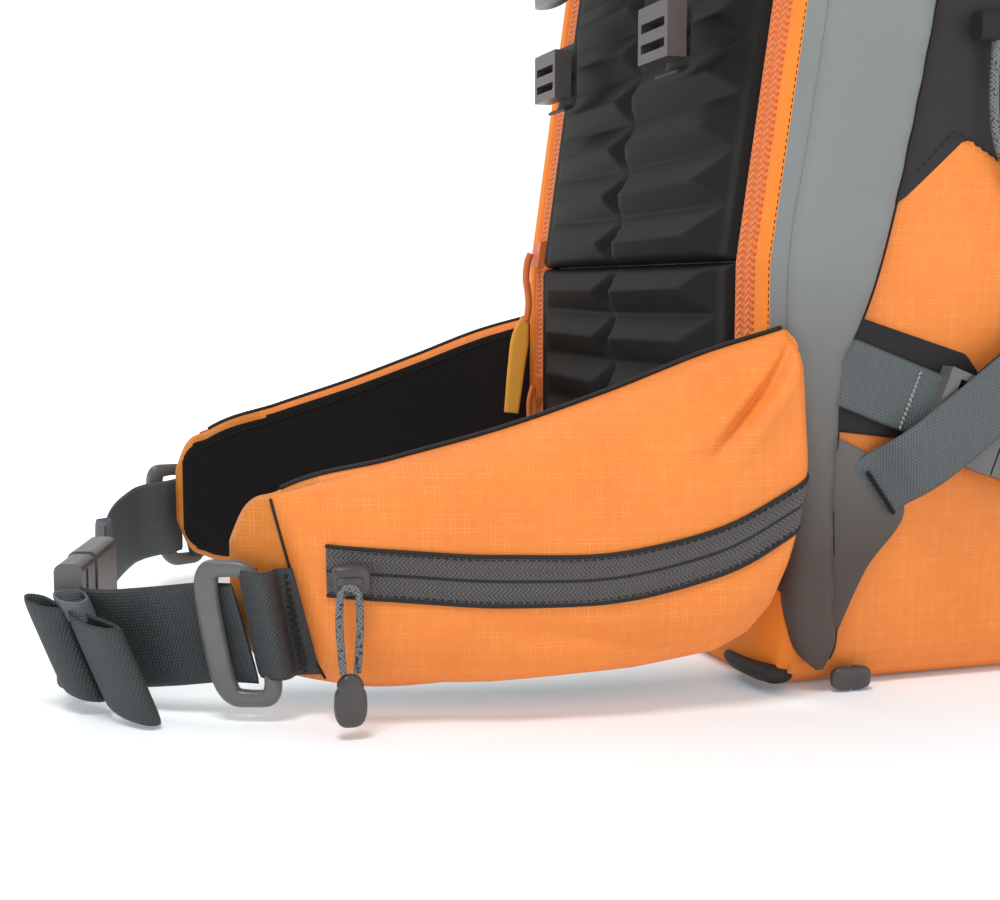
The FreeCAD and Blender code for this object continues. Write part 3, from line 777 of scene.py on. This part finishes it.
def make_rear_frame():
    """Orange piping and facing round the back door."""
    inner, run = ring_loop(119.5, 33.5, 453.5, 15, 96)
    outer = ring_loop(SIDE - 0.6, 1.0, BODY_HEIGHT - 1, 20, 96)[0]
    fine = np.linspace(0, run[-1], 900)
    inner = np.stack([np.interp(fine, run, inner[:, k]) for k in (0, 1)], -1)
    outer = np.stack([np.interp(fine, run, outer[:, k]) for k in (0, 1)], -1)
    share = np.linspace(0, 1, 29)
    ring = inner[:, None] + (outer - inner)[:, None] * share[None, :, None]
    raised = -4.5 + 9.0 * rim(share - 0.30, 0.16) * (share >= 0.30)
    raised -= 6.0 * np.clip((share - 0.62) / 0.38, 0, 1) ** 1.6
    y = back_y(ring[..., 1]) + raised[None, :]
    points = np.stack([ring[..., 0], y, ring[..., 1]], -1)
    uv = np.stack([np.repeat(share[None] * 25, len(fine), 0), np.repeat(fine[:, None], len(share), 1)], -1)
    returned = points[:, -1:] - [0, 15.0, 0]
    points = np.concatenate([points, returned], 1)
    uv = np.concatenate([uv, uv[:, -1:] + [15.0, 0]], 1)
    at_side = (np.abs(ring[:-1, :1, 0]) > 112) & (ring[:-1, :1, 1] > 62)
    outer_strip = ((share[None] > 0.76) & at_side).astype(int).ravel()
    obj = mesh_object("rear_facing", points.reshape(-1, 3), quads(*points.shape[:2], 0), uv.reshape(-1, 2),
                      [PLAIN_ORANGE, SLATE], outer_strip)
    piece(thicken(obj, 1.2, 0.0), "pack", "shell_orange", "rear_zip_frame")


def make_band(side, label):
    """Slate padded band over the frame rail, puckered where it is sewn along the front."""
    def height(z, y, e):
        pucker = 0.8 * bump(y, BAND_FRONT(z), 5.0) * np.sin(z / 2.9 + 0.9 * np.sin(z / 17))
        soft = 0.35 * np.sin(z / 23.0 + y / 9.0)
        full = 4.2 + 2.4 * bump(z, 45, 60)
        return 0.3 + full * rim(e, 9.0) + (pucker * np.clip(e / 1.2, 0, 1) + soft) * rim(e, 5.0)

    def place(z, y, w):
        return np.stack([side * (SIDE + w), y, z], -1)
    obj = pad(f"{label}_band", (8, 462), BAND_FRONT, BAND_BACK, place, height, [SLATE], (260, 22))
    piece(obj, "pack", "band_slate", "frame_bands", fill=0.5)
    # painted shadow: a thin dark rod along the band's front seam stands for the shadow line there
    edge = [(side * (SIDE + 0.8), float(BAND_FRONT(z)) - 0.6, z) for z in np.linspace(12, 458, 260)]
    dark_edge_rod(f"{label}_band_seam_shadow", edge, 0.5)
    back = [(side * 138.8, float(back_y(z)) + 3.6, z) for z in np.linspace(38, 450, 260)]
    sewn(f"{label}_band_stitches", back, 2.4, 1.9)


# ---- front pocket

POCKET_DEPTH = spline([(26, 0.4), (36, 19), (60, 27), (150, 30), (210, 23), (262, 12), (289, 0.4)])


def make_front():
    def out(x, z, e):
        share = rim(112 - np.abs(x), 26.0)
        fold = 1.1 * np.sin(x / 17.0 + z / 29.0) * share + 1.2 * bump(z, 176, 4) * -share
        return 0.4 + (POCKET_DEPTH(z) + fold) * share

    def place(x, z, w):
        return np.stack([x, front_y(z) + 0.5 - w, z], -1)
    obj = pad("front_pocket_shell", (-112, 112), flat(27), flat(288), place, out, [ORANGE], (96, 110))
    piece(obj, "pack", "shell_orange", "front_pocket")
    rows = [(x, float(front_y(180)) - float(POCKET_DEPTH(180)) - 1.2, 181) for x in np.linspace(-95, 95, 60)]
    piece(strap("front_zip_tape", rows[::6], (0, -0.1, 1), 17, 1.6, [ZIP]), "pack", "zip_dark", "front_zip")
    for name, z in (("front_zip_stitch_low", 172.5), ("front_zip_stitch_high", 189.5)):
        depth = float(front_y(z)) - float(POCKET_DEPTH(z)) - 1.8
        line = [(x, depth, z) for x in np.linspace(-95, 95, 40)]
        sewn(name, line)


# ---- back door

def make_door():
    def place(x, z, w):
        return np.stack([x, back_y(z) + w, z], -1)

    def inner(x, z, e):
        return -8.8 + 1.2 * (1 - rim(e, 8.0)) + 0.5 * np.sin(x / 23) * np.sin(z / 37)
    # its whole front face takes the black patch cloth, so the gap between the foam pads reads dark: painted
    # shade there
    panel = pad("door_lining", (-118, 118), flat(35), flat(452), place,
                lambda x, z, e: -3.7 + 3.4 * (e < 6.5), [LINING, PATCH], (60, 100), depth=inner,
                pick=lambda x, z, e: np.ones(x.shape, int))
    piece(panel, "back_door", "lining", "door_panel")

    def ribs(x, z, e):
        groove = GROOVE_X + 2.6 * np.sin((z - BEND_HEIGHT) * 2 * math.pi / RIB_PITCH)
        away = np.abs(x - groove)
        phase = ((z - BEND_HEIGHT - 0.01 * away) / RIB_PITCH) % 1.0
        ridge = np.where(phase < 0.5, phase / 0.5, (1 - phase) / 0.5)
        limit = np.minimum((PAD_HALF - np.abs(x) - 10) * 0.36, (away - 1.5) * 0.9)
        tall = np.minimum(PAD_RIDGE * ridge, np.maximum(limit, 0))
        scallop = (PAD_BASE + 0.2 * PAD_RIDGE) * rim(e, 4.0)
        return 0.3 + scallop + tall * rim(e - 0.5, 3.0)
    for name, low, high, rows, node in (("lumbar_foam", PAD_FOOT, PAD_SEAM, 110, "lumbar_pad"),
                                        ("upper_back_foam", PAD_SEAM + 0.3, PAD_TOP, 230, "upper_back_pad")):
        foam_pad = pad(name, (-PAD_HALF, PAD_HALF), flat(low), flat(high), place, ribs, [FOAM], (110, rows))
        piece(foam_pad, "back_door", "pad_black", node, fill=0.9)
    make_door_zip()


def make_door_zip():
    """Thick orange zip round three sides of the door."""
    turn = np.linspace(0.1, math.pi / 2, 8)
    corner = [(DOOR_ZIP_X - 11 * (1 - math.cos(a)), DOOR_ZIP_LOW + 11 - 11 * math.sin(a)) for a in turn]
    rise = [(DOOR_ZIP_X, z) for z in np.linspace(40, DOOR_ZIP_TOP, 70)]
    path = [(-x, z) for x, z in rise[::-1] + corner]
    path += [(x, DOOR_ZIP_LOW) for x in np.linspace(-104, 104, 40)] + corner[::-1] + rise
    path = np.array(path)
    tangent = unit(np.gradient(path, axis=0))
    normal = np.stack([tangent[:, 1], -tangent[:, 0]], -1)
    run = np.concatenate([[0], np.cumsum(np.linalg.norm(np.diff(path, axis=0), axis=1))])
    s = steps(14, 0.5)
    across = (s - 0.5) * 17.6
    spots = path[:, None] + normal[:, None] * across[None, :, None]
    lift = 0.6 + 4.4 * rim(np.minimum(s, 1 - s), 0.24) - 1.6 * bump(s, 0.5, 0.07)
    y = back_y(spots[..., 1])
    front = np.stack([spots[..., 0], y + lift[None], spots[..., 1]], -1)
    under = np.stack([spots[..., 0], y + 0.5, spots[..., 1]], -1)
    uv = np.stack([np.repeat(across[None], len(path), 0), np.repeat(run[:, None], len(s), 1)], -1)
    piece(closed("door_zip_band", front, under, uv, [KNIT]), "back_door", "zip_orange", "back_zip")


# ---- hip wings

WING_TOP = spline([(0, 133), (30, 125), (66, 112), (103, 99.5), (140, 89), (177, 78), (189, 70), (193, 60)])
WING_LOW = spline([(-8, 66), (0, 47), (10, 32), (30, 19.5), (60, 15), (110, 12), (160, 11), (178, 16),
                   (188, 24), (193, 36)])
POCKET_END = 180.0
POCKET_TOP = straight([(-5, 98), (-3.5, 115), (-1, 127), (3, 132.5), (30, 124.5), (66, 111.5), (103, 99),
                       (140, 88.5), (165, 81.5), (POCKET_END, 77)])
POCKET_LOW = straight([(-5, 86), (-3.5, 72), (0, 58), (5, 45), (11, 33), (19, 25), (30, 20), (60, 16),
                       (110, 13), (158, 13), (163, 14), (166, 20), (171, 40), (POCKET_END, 76)])
ZIP_LINE = spline([(-3, 74), (22, 61.5), (45, 54.5), (75, 50.3), (110, 50.2), (165, 54)])
ZIP_WIDE = 15.5


def arc_x(radius, y):
    return WING_CENTRE_X - np.sqrt(radius ** 2 - (y - WING_CENTRE_Y) ** 2)


def on_arc(side, base):
    def place(y, z, w):
        return np.stack([-side * arc_x(base + w, y), y, z], -1)
    return place


def pocket_out(y, z):
    """How far the filled hip pocket stands out from the wing."""
    top, low = POCKET_TOP(y) - z, z - POCKET_LOW(y)
    room = POCKET_OUT - POCKET_IN
    full = rim(top, 46.0) ** 0.9 * rim(low, 20.0) * rim(POCKET_END - y, 24.0) ** 0.8 * rim(y + 5, 9.0)
    zip_gap = z - ZIP_LINE(y)
    w = room * full * (1 - 0.05 * bump(zip_gap, 0, 9))
    w = w - 1.1 * bump(zip_gap, 0, 8.5) * full
    along = np.clip((y - 2) / 34.0, 0, 1)
    dart = z - (131 - 40 * along ** 0.8)
    w = w - 5.0 * bump(dart, 0, 3.4) * bump(y, 20, 18) + 3.0 * bump(dart, -9, 6) * bump(y, 14, 13)
    soft = 1.2 * np.sin(y / 15.0 + z / 9.0) * np.sin(z / 16.0 + 1.0) + 0.6 * np.sin(y / 7.0 - z / 21.0)
    crease = 2.6 * bump(z - (20 + 0.10 * (y - 40)), 6, 4.0) * bump(y, 70, 38)
    return np.maximum(w + soft * full - crease * full, 0.15)


def make_wing(side, label):
    def free(y, z):
        return np.minimum(np.minimum(z - WING_LOW(y), WING_TOP(y) - z), 193 - y)

    def rounded(rise):
        return lambda y, z, e: 6.0 + rise * rim(free(y, z), 7.0)

    def outer_mat(y, z, e):
        return np.where(y > 164, 1, 0)

    def inner_mat(y, z, e):
        return np.where(free(y, z) < 3.2, np.where(y > 150, 1, 0), 2)
    obj = pad(f"{label}_wing_pad", (-8, 193), WING_LOW, WING_TOP, on_arc(side, FOAM_IN), rounded(5.9),
              [ORANGE, AMBER, INNER], (150, 44), depth=rounded(-5.9 * 0.96),
              pick=outer_mat, pick_back=inner_mat)
    piece(obj, "pack", "shell_orange", f"{label}_wing", fill=0.7)
    place = on_arc(side, FOAM_IN)
    # painted shadow: a dark rod just behind the wing's top edge stands for the shadowed gap between the
    # outer shell and the foam
    top_line = [place(y, float(WING_TOP(y)) + 0.4, 6.2) for y in np.linspace(1, 176, 150)]
    dark_edge_rod(f"{label}_wing_gap_shadow", top_line, 1.0)
    inside = [place(y, float(WING_TOP(y)) - 6.5, -0.1) for y in np.linspace(8, 182, 120)]
    sewn(f"{label}_wing_stitches", inside, 3.0, 2.2, 0.28)


def make_pocket(side, label):
    place = on_arc(side, POCKET_IN)

    def inward(y, z, w):
        points = place(y, z, w)
        points[..., 0] = side * np.maximum(np.abs(points[..., 0]), np.where(y < 3.0, SIDE + 6.2, 0))
        return points
    obj = pad(f"{label}_pocket_shell", (-5, POCKET_END), POCKET_LOW, POCKET_TOP, inward,
              lambda y, z, e: pocket_out(y, z), [ORANGE], (190, 90))
    piece(obj, "pack", "shell_orange", "hip_pockets", fill=0.55)

    rows = np.linspace(-3, 165, 100)
    s = steps(12, 0.4)
    drop = (s - 0.5) * ZIP_WIDE
    y = np.repeat(rows[:, None], len(s), 1)
    z = ZIP_LINE(y) + drop[None, :]
    proud = 1.0 + 0.9 * bump(drop[None, :], 2.6, 1.7) + 0.9 * bump(drop[None, :], -2.6, 1.7)
    surface = pocket_out(y, z)
    tape = closed(f"{label}_hip_zip_tape", inward(y, z, surface + proud), inward(y, z, surface + 0.05),
                  np.stack([np.repeat(drop[None, :], len(rows), 0), y], -1), [ZIP])
    piece(tape, "pack", "zip_dark", "hip_zips")
    # dark rods along both sides of the zip: the upper one is painted shadow under the flap's folded edge,
    # the lower one the dark sewn edge
    for name, shift in (("low", -ZIP_WIDE / 2 - 0.4), ("high", ZIP_WIDE / 2 + 0.4)):
        yy = np.linspace(-3, 165, 130)
        zz = ZIP_LINE(yy) + shift
        line = inward(yy, zz, pocket_out(yy, zz) + 0.6)
        dark_edge_rod(f"{label}_zip_shadow_and_edge_{name}", line, 0.75)
        sewn(f"{label}_zip_stitch_{name}", line + [side * 0.3, 0, -1.2 * np.sign(shift)], 2.6, 1.8, 0.25)
    zz = np.linspace(14, 76, 60)
    yy = np.interp(zz, [14, 20, 40, 76], [163, 166, 171, POCKET_END]) + 0.4
    dark_edge_rod(f"{label}_pocket_seam", inward(yy, zz, 0.3), 0.55)
    make_pocket_pull(side, label)


def make_pocket_pull(side, label):
    """Slider body and split capsule end of the hip pocket's zip."""
    node = f"{label}_hip_slider"
    centre, half = node_block(node)
    body = rounded_solid(centre, np.eye(3), (half[0] * 0.62, half[1], half[2]), 0.55)
    bridge = rounded_solid(centre + [side * half[0] * 0.55, 1.0, 0], np.eye(3),
                           (half[0] * 0.45, half[1] * 0.7, 1.6), 0.5)
    made = merged(f"{label}_slider_body", [body, bridge], [HARD_DARK])
    piece(made, f"{label}_pocket_slider", "hardware_dark", node)
    node = f"{label}_hip_pull_end"
    centre, half = node_block(node)

    def capsule(p):
        p = p.copy()
        up = p[..., 2] / half[2]
        p[..., 1] *= 1 - 0.16 * up ** 2 - 0.10 * up
        p[..., 0] *= 1 - 0.10 * bump(p[..., 1], 0, 0.7)
        p[..., 1] *= 1 - 0.12 * bump(p[..., 2], 4.0, 0.8)
        return p
    end = rounded_solid(centre, np.eye(3), half, 0.62, (40, 40), capsule)
    piece(merged(f"{label}_pull_capsule", [end], [HARD_DARK]), f"{label}_pocket_pull", "hardware_dark", node)


def make_wings():
    for side, label in SIDES:
        make_wing(side, label)
        make_pocket(side, label)
        place = on_arc(side, FOAM_OUT)
        fold = ((166, 1.0), (171, 1.6), (176, 3.0), (179, 8.0), (182.4, 10.8), (186, 10.0), (188.4, 6.6),
                (186, 2.6), (182, 1.6))
        patch = [place(y, 34.0, w) for y, w in fold]
        web_strap(f"{label}_anchor_webbing", patch, (0, RING_LEAN, 1), 38, 1.5, [WEB_GREY_SHADED], "wing_webbing",
                  fixed=True)
        rows = [place(174 + 1.4 * (-1) ** (k + 1) + (k - 15) * 1.18 * RING_LEAN, 17.0 + k * 1.18, 3.5)
                for k in range(30)]
        sewn(f"{label}_anchor_bartack", rows, 2.1, 1.9, 0.42)


# ---- hip belt

RING_RADIUS, RING_Y = 382.6, 191.6
RING_LEAN = 0.18        # how far the near webbing rings lean along the wing


def ring_part(side, label, height):
    """Webbing ring: a soft-edged flat bar round a slot, its outer bar wider and bowed."""
    centre = np.array([-side * arc_x(RING_RADIUS, RING_Y), RING_Y, height])
    angle = math.asin((RING_Y - WING_CENTRE_Y) / RING_RADIUS)
    along = np.array([-side * math.sin(angle), math.cos(angle), 0])
    out = np.array([side * math.cos(angle), math.sin(angle), 0])
    loop = []
    for a in np.linspace(0, 2 * math.pi, 97):
        c, s = math.cos(a), math.sin(a)
        loop.append((8.8 * math.copysign(abs(c) ** 0.42, c), 22.4 * math.copysign(abs(s) ** 0.42, s)))
    loop = np.array(loop)
    tangent = unit(np.gradient(loop, axis=0))
    tangent[0] = tangent[-1] = unit(tangent[0] + tangent[-1])
    normal = np.stack([tangent[:, 1], -tangent[:, 0]], -1)
    wide = 2.9 + 1.3 * np.clip(loop[:, 0] / 8.8, 0, 1) ** 2
    bow = 1.8 * np.clip(loop[:, 0] / 8.8, -0.4, 1) * (1 - (loop[:, 1] / 25.0) ** 2)
    points = []
    turns = np.linspace(0, 2 * math.pi, 17)
    for q, n, w, b in zip(loop, normal, wide, bow):
        for t in turns:
            ct, st = math.cos(t), math.sin(t)
            r = w * math.copysign(abs(ct) ** 0.7, ct)
            d = 2.6 * math.copysign(abs(st) ** 0.7, st) + b
            u, v = q + n * r
            u += v * RING_LEAN
            points.append(centre + along * u + np.array([0, 0, v]) + out * d)
    faces = quads(len(loop), len(turns), 0)
    made = mesh_object(f"{label}_webbing_ring", points, faces, np.array(points)[:, 1:], [HARD_GREY])
    piece(made, "pack", "hardware_grey", "tri_glides")


TAIL = [(-92, 245, 22), (-88, 249, 23.5), (-88.5, 254, 24.5), (-94, 255, 24), (-100, 250, 22.5),
        (-101, 244.5, 21.5), (-99, 241, 21), (-107, 240.5, 20), (-117, 236, 19), (-124.5, 229.5, 18.4),
        (-122.5, 225, 18.2), (-113.5, 228.5, 18.6), (-104, 234, 19.2), (-98.5, 237.5, 19.8)]
TAIL_ACROSS = (0.1, 0.36, 0.93)


def make_belt():
    ring_part(LEFT, "left", 30.5)
    ring_part(RIGHT, "right", 36.5)
    left = [(-124.3, 190, 30.5), (-118.5, 196.5, 30), (-114.4, 202, 29.5), (-111.2, 209, 28.6),
            (-107.5, 217, 27.6), (-100, 227.5, 26), (-92, 235, 25), (-86.6, 238.4, 25)]
    between("left_belt_strap", "left_belt_webbing", left, (0.06, 0.24, 0.97), 36, 1.6, [WEB_GREY_SHADED],
            "webbing_grey", "pack", "belt_plug", (-0.1176, 0.205, 0.028), (-0.0866, 0.2384, 0.025),
            per=10, fixed=True)
    right = [(124.3, 190, 36.5), (118.5, 196.5, 36), (114.4, 202, 36), (108, 209.5, 35.4), (98, 215, 34.5),
             (66, 224, 32.5), (28, 229.5, 30), (-27, 232.6, 28)]
    web_strap("right_belt_strap", right, (0, 0, 1), 36, 1.6, [WEB_GREY], "right_belt_webbing", per=10)
    web_strap("belt_tail_loops", TAIL, TAIL_ACROSS, 36, 1.5, [WEB_GREY_SHADED], "left_belt_tail",
              body="belt_plug", fixed=True)
    keeper = smooth_path([(-86, 244, 38), (-92, 250, 38.5), (-98, 249, 37), (-101, 243, 36),
                          (-95, 239.5, 36.5), (-87, 241, 37.5), (-86, 244, 38)], 6)
    web_strap("tail_keeper", keeper[::3], TAIL_ACROSS, 8.5, 1.3, [ELASTIC], body="belt_plug", fixed=True)
    loop = [(32.8, 228.4, 31), (29.6, 232.4, 31), (26.4, 232.9, 31), (24, 229.4, 31), (28, 226.9, 31),
            (32.8, 228.4, 31)]
    web_strap("far_keeper", loop, (0, 0, 1), 37, 1.2, [ELASTIC])


# ---- side straps

def strap_frame(start, along, across):
    """Maps distance along a side strap, across it and out from the side to a point."""
    start, along, across = (np.array(c, float) for c in (start, along, across))

    def place(side, s, a, out):
        y, z = start + along * s + across * a
        return (side * out, y, z)
    return place


UPPER_ACROSS, LOWER_ACROSS = (-0.358, 0.934), (0.588, 0.809)
UPPER = strap_frame((-24, 117), (-0.9336, -0.3584), UPPER_ACROSS)
LOWER = strap_frame((-40.5, 77.5), (-0.809, 0.588), LOWER_ACROSS)


def make_side(side, label):
    def on_side(y, z, w):
        return np.stack([side * (SIDE - 0.6 + w), y, z], -1)
    top = straight([(-84, 98), (-81, 114), (-74, 123), (-29, 137), (-18, 140)])
    low = straight([(-84, 86), (-50, 92), (-18, 96)])
    obj = pad(f"{label}_side_patch", (-84, -18), low, top, on_side, lambda y, z, e: 0.5 + 1.3 * rim(e, 1.4),
              [PATCH], (50, 24))
    piece(obj, "pack", "patch_black", "strap_patches")

    def gusset_out(z, y, e):
        crease = 1.0 * np.sin((z - 0.5 * y) / 6.2) * bump(z, 70, 20)
        return 0.6 + 1.3 * rim(e, 2.5) + crease * rim(e, 6.0) * 0.5
    front = spline([(20, -22.5), (45, -35), (66, -50), (87.5, -34.4), (94, -20.5)])
    obj = pad(f"{label}_gusset_cloth", (20, 94), front, flat(-17.5), lambda z, y, w: on_side(y, z, w),
              gusset_out, [SLATE], (50, 24))
    piece(obj, "pack", "band_slate", "gussets")
    bar = [LOWER(side, -4.5, a, SIDE + 3.3) for a in np.linspace(-12, 8, 24)]
    sewn(f"{label}_gusset_bartack", bar, 1.1, 1.0, 1.0)

    face = STRAP_FACE + 0.9
    points = [UPPER(side, s, 0, face + o) for s, o in ((-6, 0), (12, 0.2), (28, 0.6), (35, 1.6), (39, 3.2))]
    web_strap(f"{label}_side_strap", points, (0, *UPPER_ACROSS), 25, 1.6, [WEB_GREY], "side_webbing")
    rows = [UPPER(side, 27 + 0.5 * (-1) ** k, -12 + k * 0.92, face + 1.6) for k in range(27)]
    piece(stitches(f"{label}_side_bartack", rows, [THREAD_PALE], 2.6, 2.2, 0.55), "pack", "webbing_grey")

    clip = [UPPER(side, s, 0, STRAP_FACE + 1.1) for s in (86.2, 110, 145, 186)]
    between(f"{label}_clip_strap", f"{label}_clip_webbing", clip, (0, *UPPER_ACROSS), 25, 1.6, [WEB_GREY],
            "webbing_grey", "pack", f"{label}_clip", Vector(clip[-1]) * MM, Vector(clip[0]) * MM)

    route = [(-9, 0.6), (1, 2.2), (12, 8.0), (30, 10.0), (96, 10.0), (120, 8.2)]
    points = [LOWER(side, s, 0, SIDE + o) for s, o in route]
    web_strap(f"{label}_gusset_strap", points, (0, *LOWER_ACROSS), 25, 1.6, [WEB_GREY], "gusset_webbing")
    tail = [LOWER(side, s, -1.5, SIDE + o) for s, o in ((120, 4.2), (96, 3.4), (66, 3.2), (52, 3.2))]
    web_strap(f"{label}_gusset_tail", tail, (0, *LOWER_ACROSS), 23, 1.5, [WEB_BLACK], slot="webbing_black")
    points = [(side * x, lift - 1.5, 6.4) for x, lift in ((112, 0), (120, 2), (132, 2), (141, 0))]
    web_strap(f"{label}_anchor_fold", points, (0, 1, 0.12), 15, 7.0, [WEB_BLACK], "anchor_tabs",
              slot="webbing_black", crown=2.2)


# ---- straps and handle

def make_straps():
    arch = [(-20.5, 408), (-18, 440), (-10, 462), (4, 472), (20, 470), (31, 456), (33, 430), (28, 380),
            (24, 320), (22, 262)]
    for side, label in SIDES:
        line = smooth_path([(0, y, z) for y, z in arch], 6)
        tangent = unit(np.gradient(line, axis=0))
        inward = np.cross((1, 0, 0), tangent)
        centre = line - inward * 6.0 * np.sign(inward[len(inward) // 2, 1])
        centre[:, 0] = side * (66 + 3 * np.sin(np.linspace(0, 3, len(centre))))
        wide = spline([(0, 44), (0.15, 50), (0.6, 50), (0.85, 46), (1, 34)])
        obj = strap(f"{label}_shoulder_pad", centre[::4], (1, 0, 0), wide, 11.6, [SLATE], 6,
                    crown=2.6, cols=16)
        piece(obj, "back_door", "band_slate", "shoulder_straps", fill=0.75)
        points = [(side * 67, y, z) for y, z in ((14, 231), (9, 234), (8.4, 246), (8.4, 262))]
        web_strap(f"{label}_lower_strap", points, (1, 0, 0), 25, 1.6, [WEB_BLACK], "strap_webbing",
                  body="back_door", slot="webbing_black")
    fixed = [(-66, 29, 366), (-44, 29.6, 366), (-20.4, 29, 366)]
    web_strap("left_sternum_strap", fixed, (0, 0, 1), 20, 1.5, [WEB_BLACK], "left_sternum_webbing",
              body="back_door", slot="webbing_black")
    moving = [(66, 29, 366), (42, 29.6, 366), (18.4, 29, 366)]
    between("right_sternum_strap", "right_sternum_webbing", moving, (0, 0, 1), 20, 1.5, [WEB_BLACK],
            "webbing_black", "back_door", "chest_plug", (0.066, 0.029, 0.366), (0.0184, 0.029, 0.366))
    handle_y = float(back_y(BODY_HEIGHT)) - 12.0
    outline = [(-35, 8), (-34, 18), (-25, 27), (-9, 32), (9, 32), (25, 27), (34, 18), (35, 8)]
    points = [(x, handle_y, BODY_HEIGHT + h) for x, h in outline]
    web_strap("carry_handle", points, (0, 1, 0), 14, 3.8, [WEB_BLACK], "haul_handle", body="handle",
              slot="webbing_black", crown=3.0)


def make_pulls():
    """Hanging pulls of the door's two sliders and the front pocket."""
    x = 120.0
    hook = [(x, 9.8, 165), (x, 11.6, 160), (x, 12.2, 152), (x, 11.2, 145), (x, 10.8, 138), (x, 12.2, 130)]
    piece(rod("upper_pull_hook", smooth_path(hook), 1.9, HARD_ORANGE, 8), "upper_door_pull", "zip_orange")
    tab = [(x, 12.8, 132), (x, 15.0, 124), (x, 17.3, 108), (x, 18.9, 94), (x, 20.2, 83)]
    wide = spline([(0, 4.5), (0.18, 9.0), (0.5, 9.4), (1, 8.0)])
    web_strap("upper_pull_tab", tab, (0, 1, 0), wide, 2.6, [PULL], "upper_back_pull", body="upper_door_pull",
              slot="pull_orange")
    link = [(115.9, 10.1, 97), (115.9, 12.0, 88), (115.9, 11.6, 76), (115.9, 12, 67)]
    piece(rod("lower_pull_link", smooth_path(link), 1.3, HARD_ORANGE, 8), "lower_door_pull", "zip_orange")
    low = [(115.7, 12.2, 68), (115.7, 12.8, 58), (115.7, 13.0, 39)]
    web_strap("lower_pull_tab", low, (0, 1, 0), 8.0, 2.4, [PULL], "lower_back_pull", body="lower_door_pull",
              slot="pull_orange")
    link = [(-84, -259.0, 183), (-84, -259.0, 168), (-84, -259.0, 150)]
    piece(rod("front_pull_link", link, 1.3, CORD, 8), "front_pocket_pull", "cord_grey")
    end = rounded_solid((-84, -259.0, 138), np.eye(3), (5.4, 3.0, 12), 0.55, (30, 30))
    piece(merged("front_pull_end", [end], [HARD_DARK]), "front_pocket_pull", "hardware_dark", "front_pull")


# ---- carried-over nodes

def make_toggle():
    """Split capsule on the rain cover's cord, under the left side."""
    centre, half = node_block("rain_cover_toggle")
    centre[1] += 6.5
    half[1] *= 1.45

    def split(p):
        p = p.copy()
        p[..., 0] *= 1 - 0.12 * bump(p[..., 1], 0, 0.5)
        p[..., 2] *= 1 - 0.16 * bump(p[..., 1], 0, 0.5)
        return p
    made = rounded_solid(centre, np.eye(3), half, 0.6, (34, 40), split)
    piece(merged("rain_toggle", [made], [HARD_DARK]), "pack", "hardware_dark", "rain_cover_toggle")


def dress_nodes():
    """Finishes and softened edges for the hard parts that keep their CAD shape."""
    hard = {"side_buckles": HARD_GREY, "left_side_clip": HARD_GREY, "right_side_clip": HARD_GREY,
            "gusset_adjusters": HARD_GREY, "hip_buckle_socket": HARD_GREY, "hip_buckle_plug": HARD_GREY,
            "ladder_locks": HARD_DARK, "sternum_socket": HARD_DARK, "sternum_plug": HARD_DARK,
            "upper_back_slider": HARD_ORANGE, "lower_back_slider": HARD_ORANGE, "front_slider": HARD_DARK,
            "bungee_guides": PATCH, "frame_sheet": SHEET}
    for name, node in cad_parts.items():
        if node.hide_render:
            continue
        node.data.materials.clear()
        node.data.materials.append(hard[name])
        if name == "frame_sheet":
            continue
        made = node.modifiers.new("edges", "BEVEL")
        made.width, made.segments, made.limit_method = 0.0009, 3, "ANGLE"
        made.angle_limit = math.radians(40)
        made.harden_normals = True
        node.data.polygons.foreach_set("use_smooth", [True] * len(node.data.polygons))


make_camera()
make_studio()
make_cords()
make_shell()
make_front()
make_door()
make_wings()
make_belt()
for hand, hand_name in SIDES:
    make_side(hand, hand_name)
make_straps()
make_pulls()
make_toggle()
dress_nodes()
